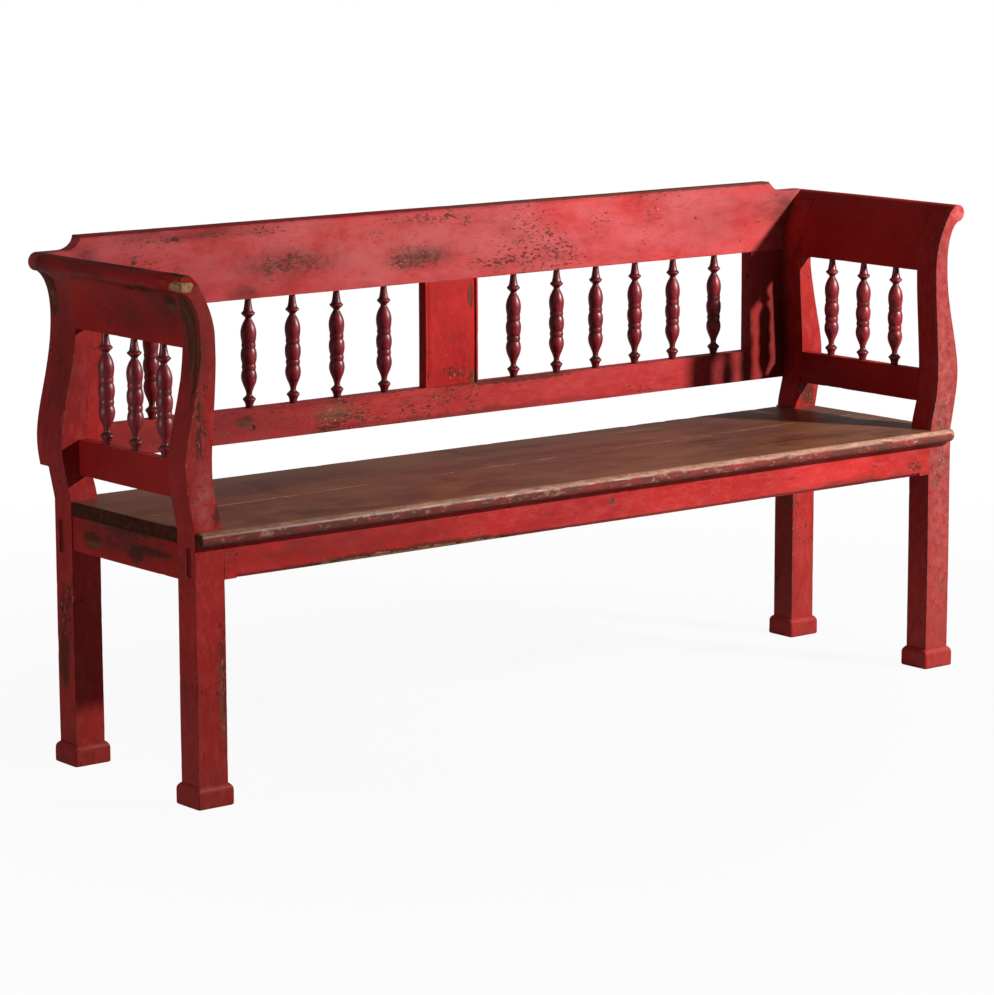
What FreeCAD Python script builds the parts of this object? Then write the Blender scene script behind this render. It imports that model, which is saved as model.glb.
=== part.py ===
import FreeCAD, Part
import math
import os
import re
from types import SimpleNamespace

import Sketcher

# A painted wooden hall bench: four posts that are leg and arm in one, a plank seat let in round
# them, a spindle back fixed behind the rear posts, and arms with a rolled top edge.
# X runs along the seat, Y from the sitter's knees to the back, Z up from the floor.
# Left is the negative X side. "Out" is measured outwards from the outer faces of the legs.

Vector = FreeCAD.Vector

# Driving dimensions in millimetres
SIZES = {
    # legs and feet
    "frame_width": 1740,
    "frame_depth": 428,
    "leg_width": 57,
    "leg_depth": 52,
    "foot_height": 38,
    "foot_proud": 8,
    "foot_shoulder": 12,
    "foot_round": 3,
    "foot_socket": 24,
    # rails under the seat
    "rail_underside": 379,
    "rail_height": 61,
    "rear_rail_height": 76,
    "long_rail_thick": 30,
    "end_rail_thick": 26,
    "end_rail_recess": 1.5,
    "tenon_thick": 12,
    "tenon_low": 9,
    "tenon_high": 4,
    "rear_tenon_low": 8,
    "rear_tenon_high": 12,
    "tenon_setback": 13,
    "tenon_end_recess": 1.5,
    "stub_length": 20,
    "rail_chamfer": 6,
    "chamfer_stop": 24,
    "bearer_place": 19,
    "bearer_width": 42,
    "bearer_height": 46,
    "peg_radius": 5,
    "peg_bite": 24,
    # seat
    "seat_thick": 24,
    "seat_overhang": 20,
    "seat_back_inset": 14,
    "front_plank_left": 198,
    "front_plank_right": 262,
    "nosing_round": 10.5,
    "corner_round": 16,
    # arms
    "roll_rise": 411,
    "roll_out": 9.5,
    "roll_radius": 16,
    "arm_sway": 16,
    "left_arm_drop": 5.5,
    "curve_fit": 0.2,
    "arm_board_height": 109,
    "board_cheek": 8,
    "arm_rail_gap": 50,
    "arm_rail_height": 61,
    "arm_rail_thick": 21,
    "arm_rail_inset": 18,
    "arm_tenon_thick": 9,
    "arm_tenon_setback": 3,
    "arm_tenon_shoulder": 8,
    "arm_stub_length": 16,
    "arm_spindle_pitch": 88,
    # back frame
    "back_thick": 27,
    "back_rail_gap": 56,
    "back_rail_height": 59,
    "top_rail_height": 135,
    "crest_rise": 19,
    "shoulder_run": 32,
    "shoulder_left": 63,
    "shoulder_right": 77,
    "top_bevel": 7,
    "stile_left_width": 113,
    "stile_right_width": 129,
    "centre_stile_width": 123,
    "centre_stile_thick": 21,
    "centre_stile_shift": 5.5,
    "bead_width": 5,
    "quirk_depth": 4,
    "quirk_slope": 9,
    "back_tenon_thick": 9,
    "back_tenon_shoulder": 8,
    # turned spindles
    "spindle_radius": 14.5,
    "spindle_socket": 13,
    "back_spindle_inset": 12,
    "plug_left": 460,
    "plug_rise": 80,
    "plug_depth": 12,
    # slack round tenons, pegs and notches
    "fit_gap": 0.2,
}

# Run of every cutter past the face that it leaves by
OVERRUN = 5

# How much of the roll's radius lies between its centre and its glued seat, and the length of the seat's tail
ROLL_SEAT_SHARE = 0.81
ROLL_TAIL_SHARE = 1.12
# Slope of the glued seat: rise for a run of one
ROLL_SEAT_SLOPE_SHARE = 0.75

# The S shape of posts and arm boards: shares of the rise from seat to roll, with shares of the
# sway on the outer side, and of the leg's width on the inner side
OUTER_SHARES = ((0, 0), (0.118, 0.59), (0.259, 1), (0.415, 0.41), (0.575, -0.53), (0.758, -1.03),
                (0.849, -0.88), (0.929, -0.18))
INNER_SHARES = ((0, -0.93), (0.061, -0.86), (0.129, -0.73), (0.266, -0.635), (0.418, -0.69),
                (0.564, -0.76), (0.724, -0.805), (0.827, -0.755), (0.936, -0.475))

# Turnings of a spindle from its foot up: where each ends as a share of the bare length, its radius
# there and the swell midway as shares of the full radius, and its steps
TURNING_SHARES = (
    (0.070, 0.80, -0.08, 2),
    (0.084, 0.81, 0, 1),
    (0.116, 0.37, 0, 1),
    (0.150, 0.42, 0, 1),
    (0.345, 0.84, 0.34, 3),
    (0.402, 0.84, 0.06, 2),
    (0.545, 0.85, 0.165, 3),
    (0.600, 0.86, 0.04, 2),
    (0.780, 0.63, 0.26, 3),
    (0.817, 0.37, 0, 1),
    (0.856, 0.84, 0, 1),
    (0.872, 0.81, 0, 1),
    (1.000, 0.39, -0.09, 2),
)
STUB_SHARE = 0.41
SPINDLE_FLATS = 8
PEG_FLATS = 8

# Places of the back's spindles, as shares of the bay from the centre stile to the end stile
BAY_SHARES = {
    "left": (0.1256, 0.2804, 0.4216, 0.5608, 0.6995, 0.8603),
    "right": (0.1373, 0.2902, 0.4314, 0.575, 0.7167, 0.873),
}
# Heights of the pegs that hold the back, as shares of the rise from seat to roll
BACK_PEG_SHARES = {"low": 0.22, "high": 0.66}

SIDES = {"left": -1, "right": 1}

document = FreeCAD.newDocument("bench")
sheet = document.addObject("Spreadsheet::Sheet", "Sizes")
for row, (alias, number) in enumerate(SIZES.items(), start=1):
    sheet.set("A%d" % row, alias)
    sheet.set("B%d" % row, str(number))
    sheet.setAlias("B%d" % row, alias)
document.recompute()
size = SimpleNamespace(**{alias: float(sheet.get(alias)) for alias in SIZES})

# Levels and planes that several pieces share
leg_foot = size.foot_height - size.foot_socket
seat_underside = size.rail_underside + size.rail_height
seat_top = seat_underside + size.seat_thick
legs_front = size.seat_overhang - (size.seat_overhang + size.frame_depth + size.back_thick) / 2
legs_back = legs_front + size.frame_depth
front_legs_inside = legs_front + size.leg_depth
rear_legs_inside = legs_back - size.leg_depth
back_rail_underside = seat_top + size.back_rail_gap
back_rail_top = back_rail_underside + size.back_rail_height
crest = seat_top + size.roll_rise + size.roll_radius + size.crest_rise
top_rail_underside = crest - size.top_rail_height
half_width = size.frame_width / 2


def arm_levels(drop):
    """Levels of one arm, which may sit a little lower than designed."""
    rail_underside = seat_top + size.arm_rail_gap - drop
    roll = seat_top + size.roll_rise - drop
    return SimpleNamespace(rise=size.roll_rise - drop, roll=roll, rail_underside=rail_underside,
                           rail_top=rail_underside + size.arm_rail_height,
                           window_top=roll - size.arm_board_height)


arms = {SIDES["left"]: arm_levels(size.left_arm_drop), SIDES["right"]: arm_levels(0)}
pieces = []


# Helpers for parametric bodies

def rule(text):
    """An expression over the sheet's cells, from a sum of their plain names."""
    return re.sub(r"[a-z][a-z_]+", lambda word: "Sizes." + word.group(0), text)


# The same planes as sums of cells, for what is bound by expression
FRONT_RULE = "seat_overhang - (seat_overhang + frame_depth + back_thick) / 2"
SEAT_TOP_RULE = "rail_underside + rail_height + seat_thick"


def new_body(label):
    body = document.addObject("PartDesign::Body", label)
    body.Label = label
    pieces.append(body)
    return body


def place(piece, across, back, up):
    """Binds a piece's place to three sums of cell names."""
    piece.setExpression("Placement.Base.x", rule(across))
    piece.setExpression("Placement.Base.y", rule(back))
    piece.setExpression("Placement.Base.z", rule(up))


def outline(body, plane, corners):
    """Adds a closed sketch of straight lines whose corners are pairs of sums of cell names."""
    sketch = body.newObject("Sketcher::SketchObject", body.Label + "_sketch")
    origin_plane = next(item for item in body.Origin.OriginFeatures if item.Role == plane)
    sketch.AttachmentSupport = (origin_plane, [""])
    sketch.MapMode = "FlatFace"
    count = len(corners)
    turn = 2 * math.pi / count
    spots = [Vector(math.cos(turn * index), math.sin(turn * index), 0) for index in range(count)]
    for index in range(count):
        sketch.addGeometry(Part.LineSegment(spots[index], spots[(index + 1) % count]))
    for index, (across, up) in enumerate(corners):
        sketch.addConstraint(Sketcher.Constraint("Coincident", index, 2, (index + 1) % count, 1))
        for kind, text, start in (("DistanceX", across, spots[index].x), ("DistanceY", up, spots[index].y)):
            number = sketch.addConstraint(Sketcher.Constraint(kind, -1, 1, index, 1, start))
            sketch.setExpression("Constraints[%d]" % number, rule(text))
    return sketch


def rectangle(body, plane, left, low, wide, tall):
    """A rectangle sketch from its low left corner and its two sizes, all sums of cell names."""
    right = "%s + %s" % (left, wide)
    high = "%s + %s" % (low, tall)
    return outline(body, plane, ((left, low), (right, low), (right, high), (left, high)))


def extrude(body, kind, sketch, length, sides="Symmetric"):
    """Adds a pad or a pocket of one sketch; length is a sum of cell names."""
    feature = body.newObject("PartDesign::" + kind, body.Label + "_" + kind.lower())
    feature.Profile = sketch
    feature.SideType = sides
    feature.setExpression("Length", rule(length))
    return feature


def edge_names(shape, wanted):
    """Names of a shape's edges whose middle point passes a test."""
    names = []
    for index, edge in enumerate(shape.Edges, start=1):
        middle = edge.valueAt((edge.FirstParameter + edge.LastParameter) / 2)
        if wanted(middle, edge):
            names.append("Edge%d" % index)
    return names


def round_edges(body, base, names, radius):
    """Adds a fillet whose radius is a cell."""
    fillet = body.newObject("PartDesign::Fillet", body.Label + "_fillet")
    fillet.Base = (base, names)
    fillet.setExpression("Radius", rule(radius))
    return fillet


# Helpers for pieces made of free shapes

def add_piece(label, shape, spot=Vector()):
    piece = document.addObject("Part::Feature", label)
    piece.Label = label
    piece.Shape = shape
    piece.Placement = FreeCAD.Placement(spot, FreeCAD.Rotation())
    pieces.append(piece)


def block(low, high):
    """A box between two corners, whichever way round they come."""
    least = Vector(*map(min, low, high))
    most = Vector(*map(max, low, high))
    span = most - least
    return Part.makeBox(span.x, span.y, span.z, least)


def side_block(side, out_low, out_high, back_low, back_high, low, high):
    """A box whose X limits are given outwards from the legs' outer faces."""
    return block((side * (half_width + out_low), back_low, low),
                 (side * (half_width + out_high), back_high, high))


def prism(edges, start, length):
    """Pushes a closed outline in the XZ plane from the plane Y = start along Y."""
    face = Part.Face(Part.Wire(Part.__sortEdges__(edges)))
    solid = face.extrude(Vector(0, length, 0))
    solid.translate(Vector(0, start, 0))
    return solid


def line(start, end):
    return Part.LineSegment(start, end).toShape()


def arc(start, middle, end):
    return Part.Arc(start, middle, end).toShape()


def fair_arcs(points):
    """Tangent arcs along the smooth curve through a few points."""
    curve = Part.BSplineCurve()
    curve.interpolate(points)
    return [part.toShape() for part in curve.toBiArcs(size.curve_fit)]


# The S shape that posts, arm boards and the back's ends share

def side_point(side, out, height):
    return Vector(side * (half_width + out), 0, height)


def roll_seat(side):
    """Ends of the sloping glued seat under the roll: the tail on the inside, the heel below."""
    slope = math.hypot(1, ROLL_SEAT_SLOPE_SHARE)
    along = (1 / slope, -ROLL_SEAT_SLOPE_SHARE / slope)
    outward = (ROLL_SEAT_SLOPE_SHARE / slope, 1 / slope)
    drop = size.roll_radius * ROLL_SEAT_SHARE
    tail = size.roll_radius * ROLL_TAIL_SHARE
    heel = math.sqrt(size.roll_radius ** 2 - drop ** 2)
    ends = [(size.roll_out - outward[0] * drop + along[0] * reach,
             arms[side].roll - outward[1] * drop + along[1] * reach) for reach in (-tail, heel)]
    return [side_point(side, *end) for end in ends]


def outer_points(side, inset=0):
    rise = arms[side].rise
    points = [side_point(side, sway * size.arm_sway - inset, seat_top + share * rise)
              for share, sway in OUTER_SHARES]
    heel = roll_seat(side)[1]
    return points + [heel - Vector(side * inset, 0, 0)]


def inner_points(side, inset=0):
    rise = arms[side].rise
    points = [side_point(side, part * size.leg_width + inset, seat_top + share * rise)
              for share, part in INNER_SHARES]
    tail = roll_seat(side)[0]
    return points + [tail + Vector(side * inset, 0, 0)]


def sway_solid(side, start, length, inset=0):
    """The S shape from the seat to the roll's seat, pushed along Y; an inset thins both faces."""
    outer = outer_points(side, inset)
    inner = inner_points(side, inset)
    edges = [line(outer[-1], inner[-1]), line(outer[0], inner[0])] + fair_arcs(outer) + fair_arcs(inner)
    return prism(edges, start, length)


def share_at(table, share):
    """The second column of a table of shares at a place between its rows."""
    for (low, first), (high, second) in zip(table, table[1:]):
        if low <= share <= high:
            return first + (second - first) * (share - low) / (high - low)
    return table[-1][1]


def sway_middle(share):
    """Out of the middle of the S shape at a share of its rise."""
    return (share_at(OUTER_SHARES, share) * size.arm_sway
            + share_at(INNER_SHARES, share) * size.leg_width) / 2


# Turned spindles

def ring(centre, radius, height):
    """Corners of one of a spindle's flat-sided rings."""
    turn = 2 * math.pi / SPINDLE_FLATS
    return [Vector(centre.x + radius * math.cos(turn * index), centre.y + radius * math.sin(turn * index),
                   height) for index in range(SPINDLE_FLATS)]


def flat_face(corners):
    return Part.Face(Part.makePolygon(corners + corners[:1]))


def spindle_stations():
    """Heights and radii of a spindle's rings as shares, from its foot to its head."""
    stations = [(0, STUB_SHARE)]
    for end, radius, swell, steps in TURNING_SHARES:
        start, first = stations[-1]
        for step in range(1, steps + 1):
            part = step / steps
            stations.append((start + (end - start) * part,
                             first + (radius - first) * part + swell * math.sin(math.pi * part)))
    return stations


def spindle(centre, low, high):
    """A turned spindle between two levels, with a stub at each end for its sockets."""
    seat = size.spindle_socket - size.fit_gap
    stub = size.spindle_radius * STUB_SHARE
    rings = [ring(centre, stub, low - seat)]
    for share, radius in spindle_stations():
        rings.append(ring(centre, radius * size.spindle_radius, low + (high - low) * share))
    rings.append(ring(centre, stub, high + seat))
    faces = [flat_face(rings[0]), flat_face(rings[-1])]
    for lower, upper in zip(rings, rings[1:]):
        faces += [flat_face([lower[index - 1], lower[index], upper[index], upper[index - 1]])
                  for index in range(SPINDLE_FLATS)]
    return Part.Solid(Part.Shell(faces))


def socket(centre, mouth, depth):
    """The cutter of a spindle's socket: depth is up from its mouth, or down where negative."""
    radius = size.spindle_radius * STUB_SHARE + size.fit_gap
    overrun = math.copysign(OVERRUN, depth)
    return flat_face(ring(centre, radius, mouth - overrun)).extrude(Vector(0, 0, depth + overrun))


# Places of the spindles

def bay_ends(side_name):
    """X of the centre stile's edge and of the end stile's edge in one bay of the back."""
    side = SIDES[side_name]
    stile_width = {"left": size.stile_left_width, "right": size.stile_right_width}[side_name]
    near = side * size.centre_stile_width / 2 - size.centre_stile_shift
    far = side * (half_width - stile_width)
    return near, far


def back_spindle_spots(side_name):
    near, far = bay_ends(side_name)
    line_of_turnings = legs_back + size.back_spindle_inset
    return [Vector(near + (far - near) * share, line_of_turnings, 0) for share in BAY_SHARES[side_name]]


def arm_spindle_spots(side_name):
    across = SIDES[side_name] * (half_width - size.arm_rail_inset - size.arm_rail_thick / 2)
    middle = (legs_front + legs_back) / 2
    return [Vector(across, middle + place_no * size.arm_spindle_pitch, 0) for place_no in (-1, 0, 1)]


# Posts, each a leg and an arm's upright in one

def long_tenon_slot(side, front):
    """The through mortise for a long rail's tenon, in a front or a rear post."""
    face = legs_front if front else legs_back
    inward = 1 if front else -1
    low = size.rail_underside + size.tenon_low
    high = seat_underside - size.tenon_high
    if not front:
        low = seat_underside - size.rear_rail_height + size.rear_tenon_low
        high = seat_underside - size.rear_tenon_high
    near = size.tenon_setback - size.fit_gap
    far = size.tenon_setback + size.tenon_thick + size.fit_gap
    return side_block(side, -size.leg_width - OVERRUN, OVERRUN, face + inward * near, face + inward * far,
                      low - size.fit_gap, high + size.fit_gap)


def end_rail_slot(side, front):
    """The blind mortise for an end rail's stub tenon."""
    mouth = front_legs_inside if front else rear_legs_inside
    inward = -1 if front else 1
    outside = size.end_rail_recess + (size.end_rail_thick - size.tenon_thick) / 2 - size.fit_gap
    inside = outside + size.tenon_thick + 2 * size.fit_gap
    return side_block(side, -inside, -outside, mouth - inward * OVERRUN,
                      mouth + inward * (size.stub_length + size.fit_gap),
                      size.rail_underside + size.tenon_low - size.fit_gap,
                      seat_underside - size.tenon_high + size.fit_gap)


def arm_rail_slot(side, front):
    """The blind mortise for the arm rail's stub tenon."""
    mouth = front_legs_inside if front else rear_legs_inside
    inward = -1 if front else 1
    outside = size.arm_rail_inset + size.arm_tenon_setback - size.fit_gap
    inside = outside + size.arm_tenon_thick + 2 * size.fit_gap
    return side_block(side, -inside, -outside, mouth - inward * OVERRUN,
                      mouth + inward * (size.arm_stub_length + size.fit_gap),
                      arms[side].rail_underside + size.arm_tenon_shoulder - size.fit_gap,
                      arms[side].rail_top - size.arm_tenon_shoulder + size.fit_gap)


def board_tenon(side, slack):
    """The arm board's curved tenons, both ends in one bar from post to post."""
    reach = size.arm_stub_length + slack
    bar = sway_solid(side, front_legs_inside - reach, rear_legs_inside - front_legs_inside + 2 * reach,
                     size.board_cheek - slack)
    band = side_block(side, -size.frame_width / 2, size.frame_width, legs_front, legs_back,
                      arms[side].window_top + size.board_cheek - slack,
                      arms[side].roll - 2 * size.board_cheek + slack)
    return bar.common(band)


def post(side_name, front):
    side = SIDES[side_name]
    start = legs_front if front else rear_legs_inside
    outer = outer_points(side)
    inner = inner_points(side)
    corners = [side_point(side, -size.leg_width, seat_top), side_point(side, -size.leg_width, leg_foot),
               side_point(side, 0, leg_foot)]
    edges = [line(outer[-1], inner[-1]), line(inner[0], corners[0]), line(corners[0], corners[1]),
             line(corners[1], corners[2]), line(corners[2], outer[0])]
    shape = prism(edges + fair_arcs(outer) + fair_arcs(inner), start, size.leg_depth)
    cutters = [long_tenon_slot(side, front), end_rail_slot(side, front), arm_rail_slot(side, front),
               board_tenon(side, size.fit_gap)]
    if not front:
        cutters += [peg_hole(side_name, level) for level in BACK_PEG_SHARES]
    for cutter in cutters:
        shape = shape.cut(cutter)
    end = "front" if front else "rear"
    add_piece("post_%s_%s" % (end, side_name), shape)


# Block feet with a rounded shoulder up to the leg

def foot_profile(half):
    """Outline of a foot across one of its sides, half as wide as asked, standing on the floor."""
    shoulder = size.foot_height - size.foot_shoulder
    low_round = size.foot_round
    middle = low_round * (1 - math.sqrt(0.5))
    # The shoulder's arc starts upright and has run in by foot_proud when it reaches the leg
    radius = (size.foot_proud ** 2 + size.foot_shoulder ** 2) / (2 * size.foot_proud)
    half_turn = math.asin(size.foot_shoulder / radius) / 2
    edges = [line(Vector(low_round - half, 0, 0), Vector(half - low_round, 0, 0)),
             line(Vector(size.foot_proud - half, 0, size.foot_height),
                  Vector(half - size.foot_proud, 0, size.foot_height))]
    for side in SIDES.values():
        edges.append(line(Vector(side * half, 0, low_round), Vector(side * half, 0, shoulder)))
        edges.append(arc(Vector(side * (half - low_round), 0, 0), Vector(side * (half - middle), 0, middle),
                         Vector(side * half, 0, low_round)))
        edges.append(arc(Vector(side * half, 0, shoulder),
                         Vector(side * (half - radius * (1 - math.cos(half_turn))), 0,
                                shoulder + radius * math.sin(half_turn)),
                         Vector(side * (half - size.foot_proud), 0, size.foot_height)))
    return edges


def foot(side_name, front):
    side = SIDES[side_name]
    half_x = size.leg_width / 2 + size.foot_proud
    half_y = size.leg_depth / 2 + size.foot_proud
    along = prism(foot_profile(half_x), -half_y, 2 * half_y)
    across = prism(foot_profile(half_y), -half_x, 2 * half_x)
    across.rotate(Vector(0, 0, 0), Vector(0, 0, 1), 90)
    shape = along.common(across)
    slack = size.fit_gap
    shape = shape.cut(block((-size.leg_width / 2 - slack, -size.leg_depth / 2 - slack, leg_foot),
                            (size.leg_width / 2 + slack, size.leg_depth / 2 + slack,
                             size.foot_height + OVERRUN)))
    middle = (legs_front if front else rear_legs_inside) + size.leg_depth / 2
    spot = Vector(side * (half_width - size.leg_width / 2), middle, 0)
    end = "front" if front else "rear"
    add_piece("foot_%s_%s" % (end, side_name), shape, spot)


# Rails under the seat, tenoned into the posts

def long_rail(end):
    """A long seat rail, its tenons right through the legs; the front one has a stopped chamfer."""
    body = new_body("seat_rail_" + end)
    front = end == "front"
    height = "rail_height" if front else "rear_rail_height"
    low, high = ("tenon_low", "tenon_high") if front else ("rear_tenon_low", "rear_tenon_high")
    rail = rectangle(body, "YZ_Plane", "0", "0", "long_rail_thick", height)
    extrude(body, "Pad", rail, "frame_width - 2 * leg_width")
    near = "tenon_setback" if front else "long_rail_thick - tenon_setback - tenon_thick"
    tenon = rectangle(body, "YZ_Plane", near, low, "tenon_thick", "%s - %s - %s" % (height, low, high))
    extrude(body, "Pad", tenon, "frame_width - 2 * tenon_end_recess")
    if front:
        arris = outline(body, "YZ_Plane", (("0", "0"), ("rail_chamfer", "0"), ("0", "rail_chamfer")))
        extrude(body, "Pocket", arris, "frame_width - 2 * leg_width - 2 * chamfer_stop")
    hole = peg_hole_sketch(body, "bearer_place", height + " - bearer_height / 2")
    extrude(body, "Pocket", hole, "2 * long_rail_thick + 2 * fit_gap")
    back = FRONT_RULE if front else FRONT_RULE + " + frame_depth - long_rail_thick"
    place(body, "0", back, "rail_underside + rail_height - " + height)


def peg_hole_sketch(body, across, up):
    """The eight-sided outline of a peg's hole, about a point given by sums of cell names."""
    turn = 2 * math.pi / PEG_FLATS
    corners = [("%s + (peg_radius + fit_gap) * (%.6f)" % (across, math.cos(turn * index)),
                "%s + (peg_radius + fit_gap) * (%.6f)" % (up, math.sin(turn * index)))
               for index in range(PEG_FLATS)]
    return outline(body, "XZ_Plane", corners)


def end_rail(side_name):
    """A short rail between a front and a rear leg, with stub tenons."""
    body = new_body("seat_rail_" + side_name)
    rail = rectangle(body, "XZ_Plane", "-end_rail_thick / 2", "0", "end_rail_thick", "rail_height")
    extrude(body, "Pad", rail, "frame_depth - 2 * leg_depth")
    tenon = rectangle(body, "XZ_Plane", "-tenon_thick / 2", "tenon_low", "tenon_thick",
                      "rail_height - tenon_low - tenon_high")
    extrude(body, "Pad", tenon, "frame_depth - 2 * leg_depth + 2 * stub_length")
    sign = "-" if side_name == "left" else ""
    place(body, "%s(frame_width / 2 - end_rail_recess - end_rail_thick / 2)" % sign,
          FRONT_RULE + " + frame_depth / 2", "rail_underside")


def bearer():
    """The cross bearer under the seat, pegged to both long rails."""
    body = new_body("seat_bearer")
    section = rectangle(body, "XZ_Plane", "-bearer_width / 2", "0", "bearer_width", "bearer_height")
    extrude(body, "Pad", section, "frame_depth - 2 * long_rail_thick")
    place(body, "bearer_place", FRONT_RULE + " + frame_depth / 2",
          "rail_underside + rail_height - bearer_height")
    for side in SIDES.values():
        hole = peg_hole_sketch(body, "0", "bearer_height / 2")
        hole.setExpression("AttachmentOffset.Base.z", rule("%d * (frame_depth / 2 - long_rail_thick)" % side))
        extrude(body, "Pocket", hole, "2 * peg_bite + 2 * fit_gap")


def bearer_peg(end):
    """A whittled peg through a long rail into the bearer's end."""
    front = end == "front"
    peg = document.addObject("Part::Prism", "bearer_peg_" + end)
    peg.Label = "bearer_peg_" + end
    peg.Polygon = PEG_FLATS
    peg.setExpression("Circumradius", rule("peg_radius"))
    peg.setExpression("Height", rule("long_rail_thick + peg_bite"))
    peg.Placement = FreeCAD.Placement(Vector(0, 0, 0), FreeCAD.Rotation(Vector(1, 0, 0), -90 if front else 90))
    back = FRONT_RULE if front else FRONT_RULE + " + frame_depth"
    place(peg, "bearer_place", back, "rail_underside + rail_height - bearer_height / 2")
    pieces.append(peg)


# Seat of two planks with a slanting joint

def notch(body, side_name, near, far):
    """Cuts a plank round a post; near and far are distances behind the plank's front edge."""
    edge = "frame_width / 2"
    inner = "frame_width / 2 - leg_width - fit_gap"
    if side_name == "left":
        edge, inner = "-" + edge, "-(%s)" % inner
    corner = outline(body, "XY_Plane", ((edge, near), (inner, near), (inner, far), (edge, far)))
    cut = extrude(body, "Pocket", corner, "seat_thick", "One side")
    cut.Reversed = True


def front_plank():
    body = new_body("seat_plank_front")
    board = outline(body, "XY_Plane", (("-frame_width / 2", "0"), ("frame_width / 2", "0"),
                                       ("frame_width / 2", "front_plank_right"),
                                       ("-frame_width / 2", "front_plank_left")))
    extrude(body, "Pad", board, "seat_thick", "One side")
    for side_name in SIDES:
        notch(body, side_name, "seat_overhang - fit_gap", "seat_overhang + leg_depth + fit_gap")
    place(body, "0", FRONT_RULE + " - seat_overhang", "rail_underside + rail_height")
    document.recompute()
    base = body.Tip
    corner = edge_names(base.Shape, lambda spot, edge: abs(spot.y) < size.fit_gap
                        and abs(spot.x - half_width) < size.fit_gap
                        and abs(spot.z - size.seat_thick / 2) < size.fit_gap)
    round_edges(body, base, corner, "corner_round")
    document.recompute()
    base = body.Tip
    nosing = edge_names(base.Shape, lambda spot, edge: spot.y < size.seat_overhang / 2
                        and min(abs(spot.z), abs(spot.z - size.seat_thick)) < size.fit_gap)
    round_edges(body, base, nosing, "nosing_round")


def rear_plank():
    body = new_body("seat_plank_rear")
    deep = "(seat_overhang + frame_depth - seat_back_inset)"
    near = "(seat_overhang + frame_depth - leg_depth - fit_gap)"
    inner = "(frame_width / 2 - leg_width - fit_gap)"
    board = outline(body, "XY_Plane", (("-frame_width / 2", "front_plank_left"),
                                       ("frame_width / 2", "front_plank_right"),
                                       ("frame_width / 2", near), (inner, near), (inner, deep),
                                       ("-" + inner, deep), ("-" + inner, near), ("-frame_width / 2", near)))
    extrude(body, "Pad", board, "seat_thick", "One side")
    place(body, "0", FRONT_RULE + " - seat_overhang", "rail_underside + rail_height")


# Arms: a curved board, a roll on its top edge, a flat rail and three spindles between

def arm_board(side_name):
    side = SIDES[side_name]
    span = rear_legs_inside - front_legs_inside
    above = side_block(side, -size.frame_width / 2, size.frame_width, front_legs_inside, rear_legs_inside,
                       arms[side].window_top, crest)
    shape = sway_solid(side, front_legs_inside, span).common(above)
    shape = shape.fuse(board_tenon(side, 0))
    for spot in arm_spindle_spots(side_name):
        shape = shape.cut(socket(spot, arms[side].window_top, size.spindle_socket))
    add_piece("arm_board_" + side_name, shape.removeSplitter())


def arm_roll(side_name):
    """The round moulding along the arm's top edge, flat where it is glued down."""
    side = SIDES[side_name]
    tail, heel = roll_seat(side)
    centre = side_point(side, size.roll_out, arms[side].roll)
    reach = (tail - centre).Length
    lean = math.atan2(tail.z - centre.z, side * (tail.x - centre.x))
    angle = lean - math.acos(size.roll_radius / reach)
    touch = centre + Vector(side * math.cos(angle), 0, math.sin(angle)) * size.roll_radius
    edges = [line(tail, heel), line(touch, tail),
             arc(heel, centre + Vector(side * size.roll_radius, 0, 0), touch)]
    add_piece("arm_roll_" + side_name, prism(edges, 0, size.frame_depth), Vector(0, legs_front, 0))


def arm_rail(side_name):
    side = SIDES[side_name]
    outside = size.arm_rail_inset
    levels = arms[side]
    shape = side_block(side, -outside - size.arm_rail_thick, -outside, front_legs_inside, rear_legs_inside,
                       levels.rail_underside, levels.rail_top)
    tenon_out = outside + size.arm_tenon_setback
    shape = shape.fuse(side_block(side, -tenon_out - size.arm_tenon_thick, -tenon_out,
                                  front_legs_inside - size.arm_stub_length,
                                  rear_legs_inside + size.arm_stub_length,
                                  levels.rail_underside + size.arm_tenon_shoulder,
                                  levels.rail_top - size.arm_tenon_shoulder))
    for spot in arm_spindle_spots(side_name):
        shape = shape.cut(socket(spot, levels.rail_top, -size.spindle_socket))
    add_piece("arm_rail_" + side_name, shape.removeSplitter())


# Back frame: two rails, three stiles and two bays of spindles

def back_region():
    """All that lies between the S shapes of the two ends, as thick as the back."""
    left = outer_points(SIDES["left"])
    right = outer_points(SIDES["right"])
    edges = [line(left[0], right[0]), line(left[-1], right[-1])] + fair_arcs(left) + fair_arcs(right)
    return prism(edges, legs_back, size.back_thick)


def crown():
    """The top rail's upper part: round ends, hollow shoulders and the straight crest."""
    heels = [roll_seat(side)[1] for side in SIDES.values()]
    insets = (size.shoulder_left, size.shoulder_right)
    edges = [line(*heels)]
    crest_ends = []
    for side, heel, inset in zip(SIDES.values(), heels, insets):
        centre = side_point(side, size.roll_out, arms[side].roll)
        top = centre + Vector(0, 0, size.roll_radius)
        edges.append(arc(heel, centre + Vector(side * size.roll_radius, 0, 0), top))
        corner = side_point(side, size.shoulder_run - inset, crest)
        hollow = [corner - Vector(side * size.shoulder_run * math.cos(angle), 0,
                                  (crest - top.z) * math.sin(angle))
                  for angle in (0, math.pi / 8, math.pi / 4, 3 * math.pi / 8, math.pi / 2)]
        edges += fair_arcs(hollow) + [line(hollow[-1], top)]
        crest_ends.append(hollow[0])
    edges.append(line(*crest_ends))
    return prism(edges, legs_back, size.back_thick)


def full_band(low, high):
    """A box as wide as anything on the bench, between two levels, at the back's depth."""
    return block((-size.frame_width, legs_back, low), (size.frame_width, legs_back + size.back_thick, high))


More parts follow.
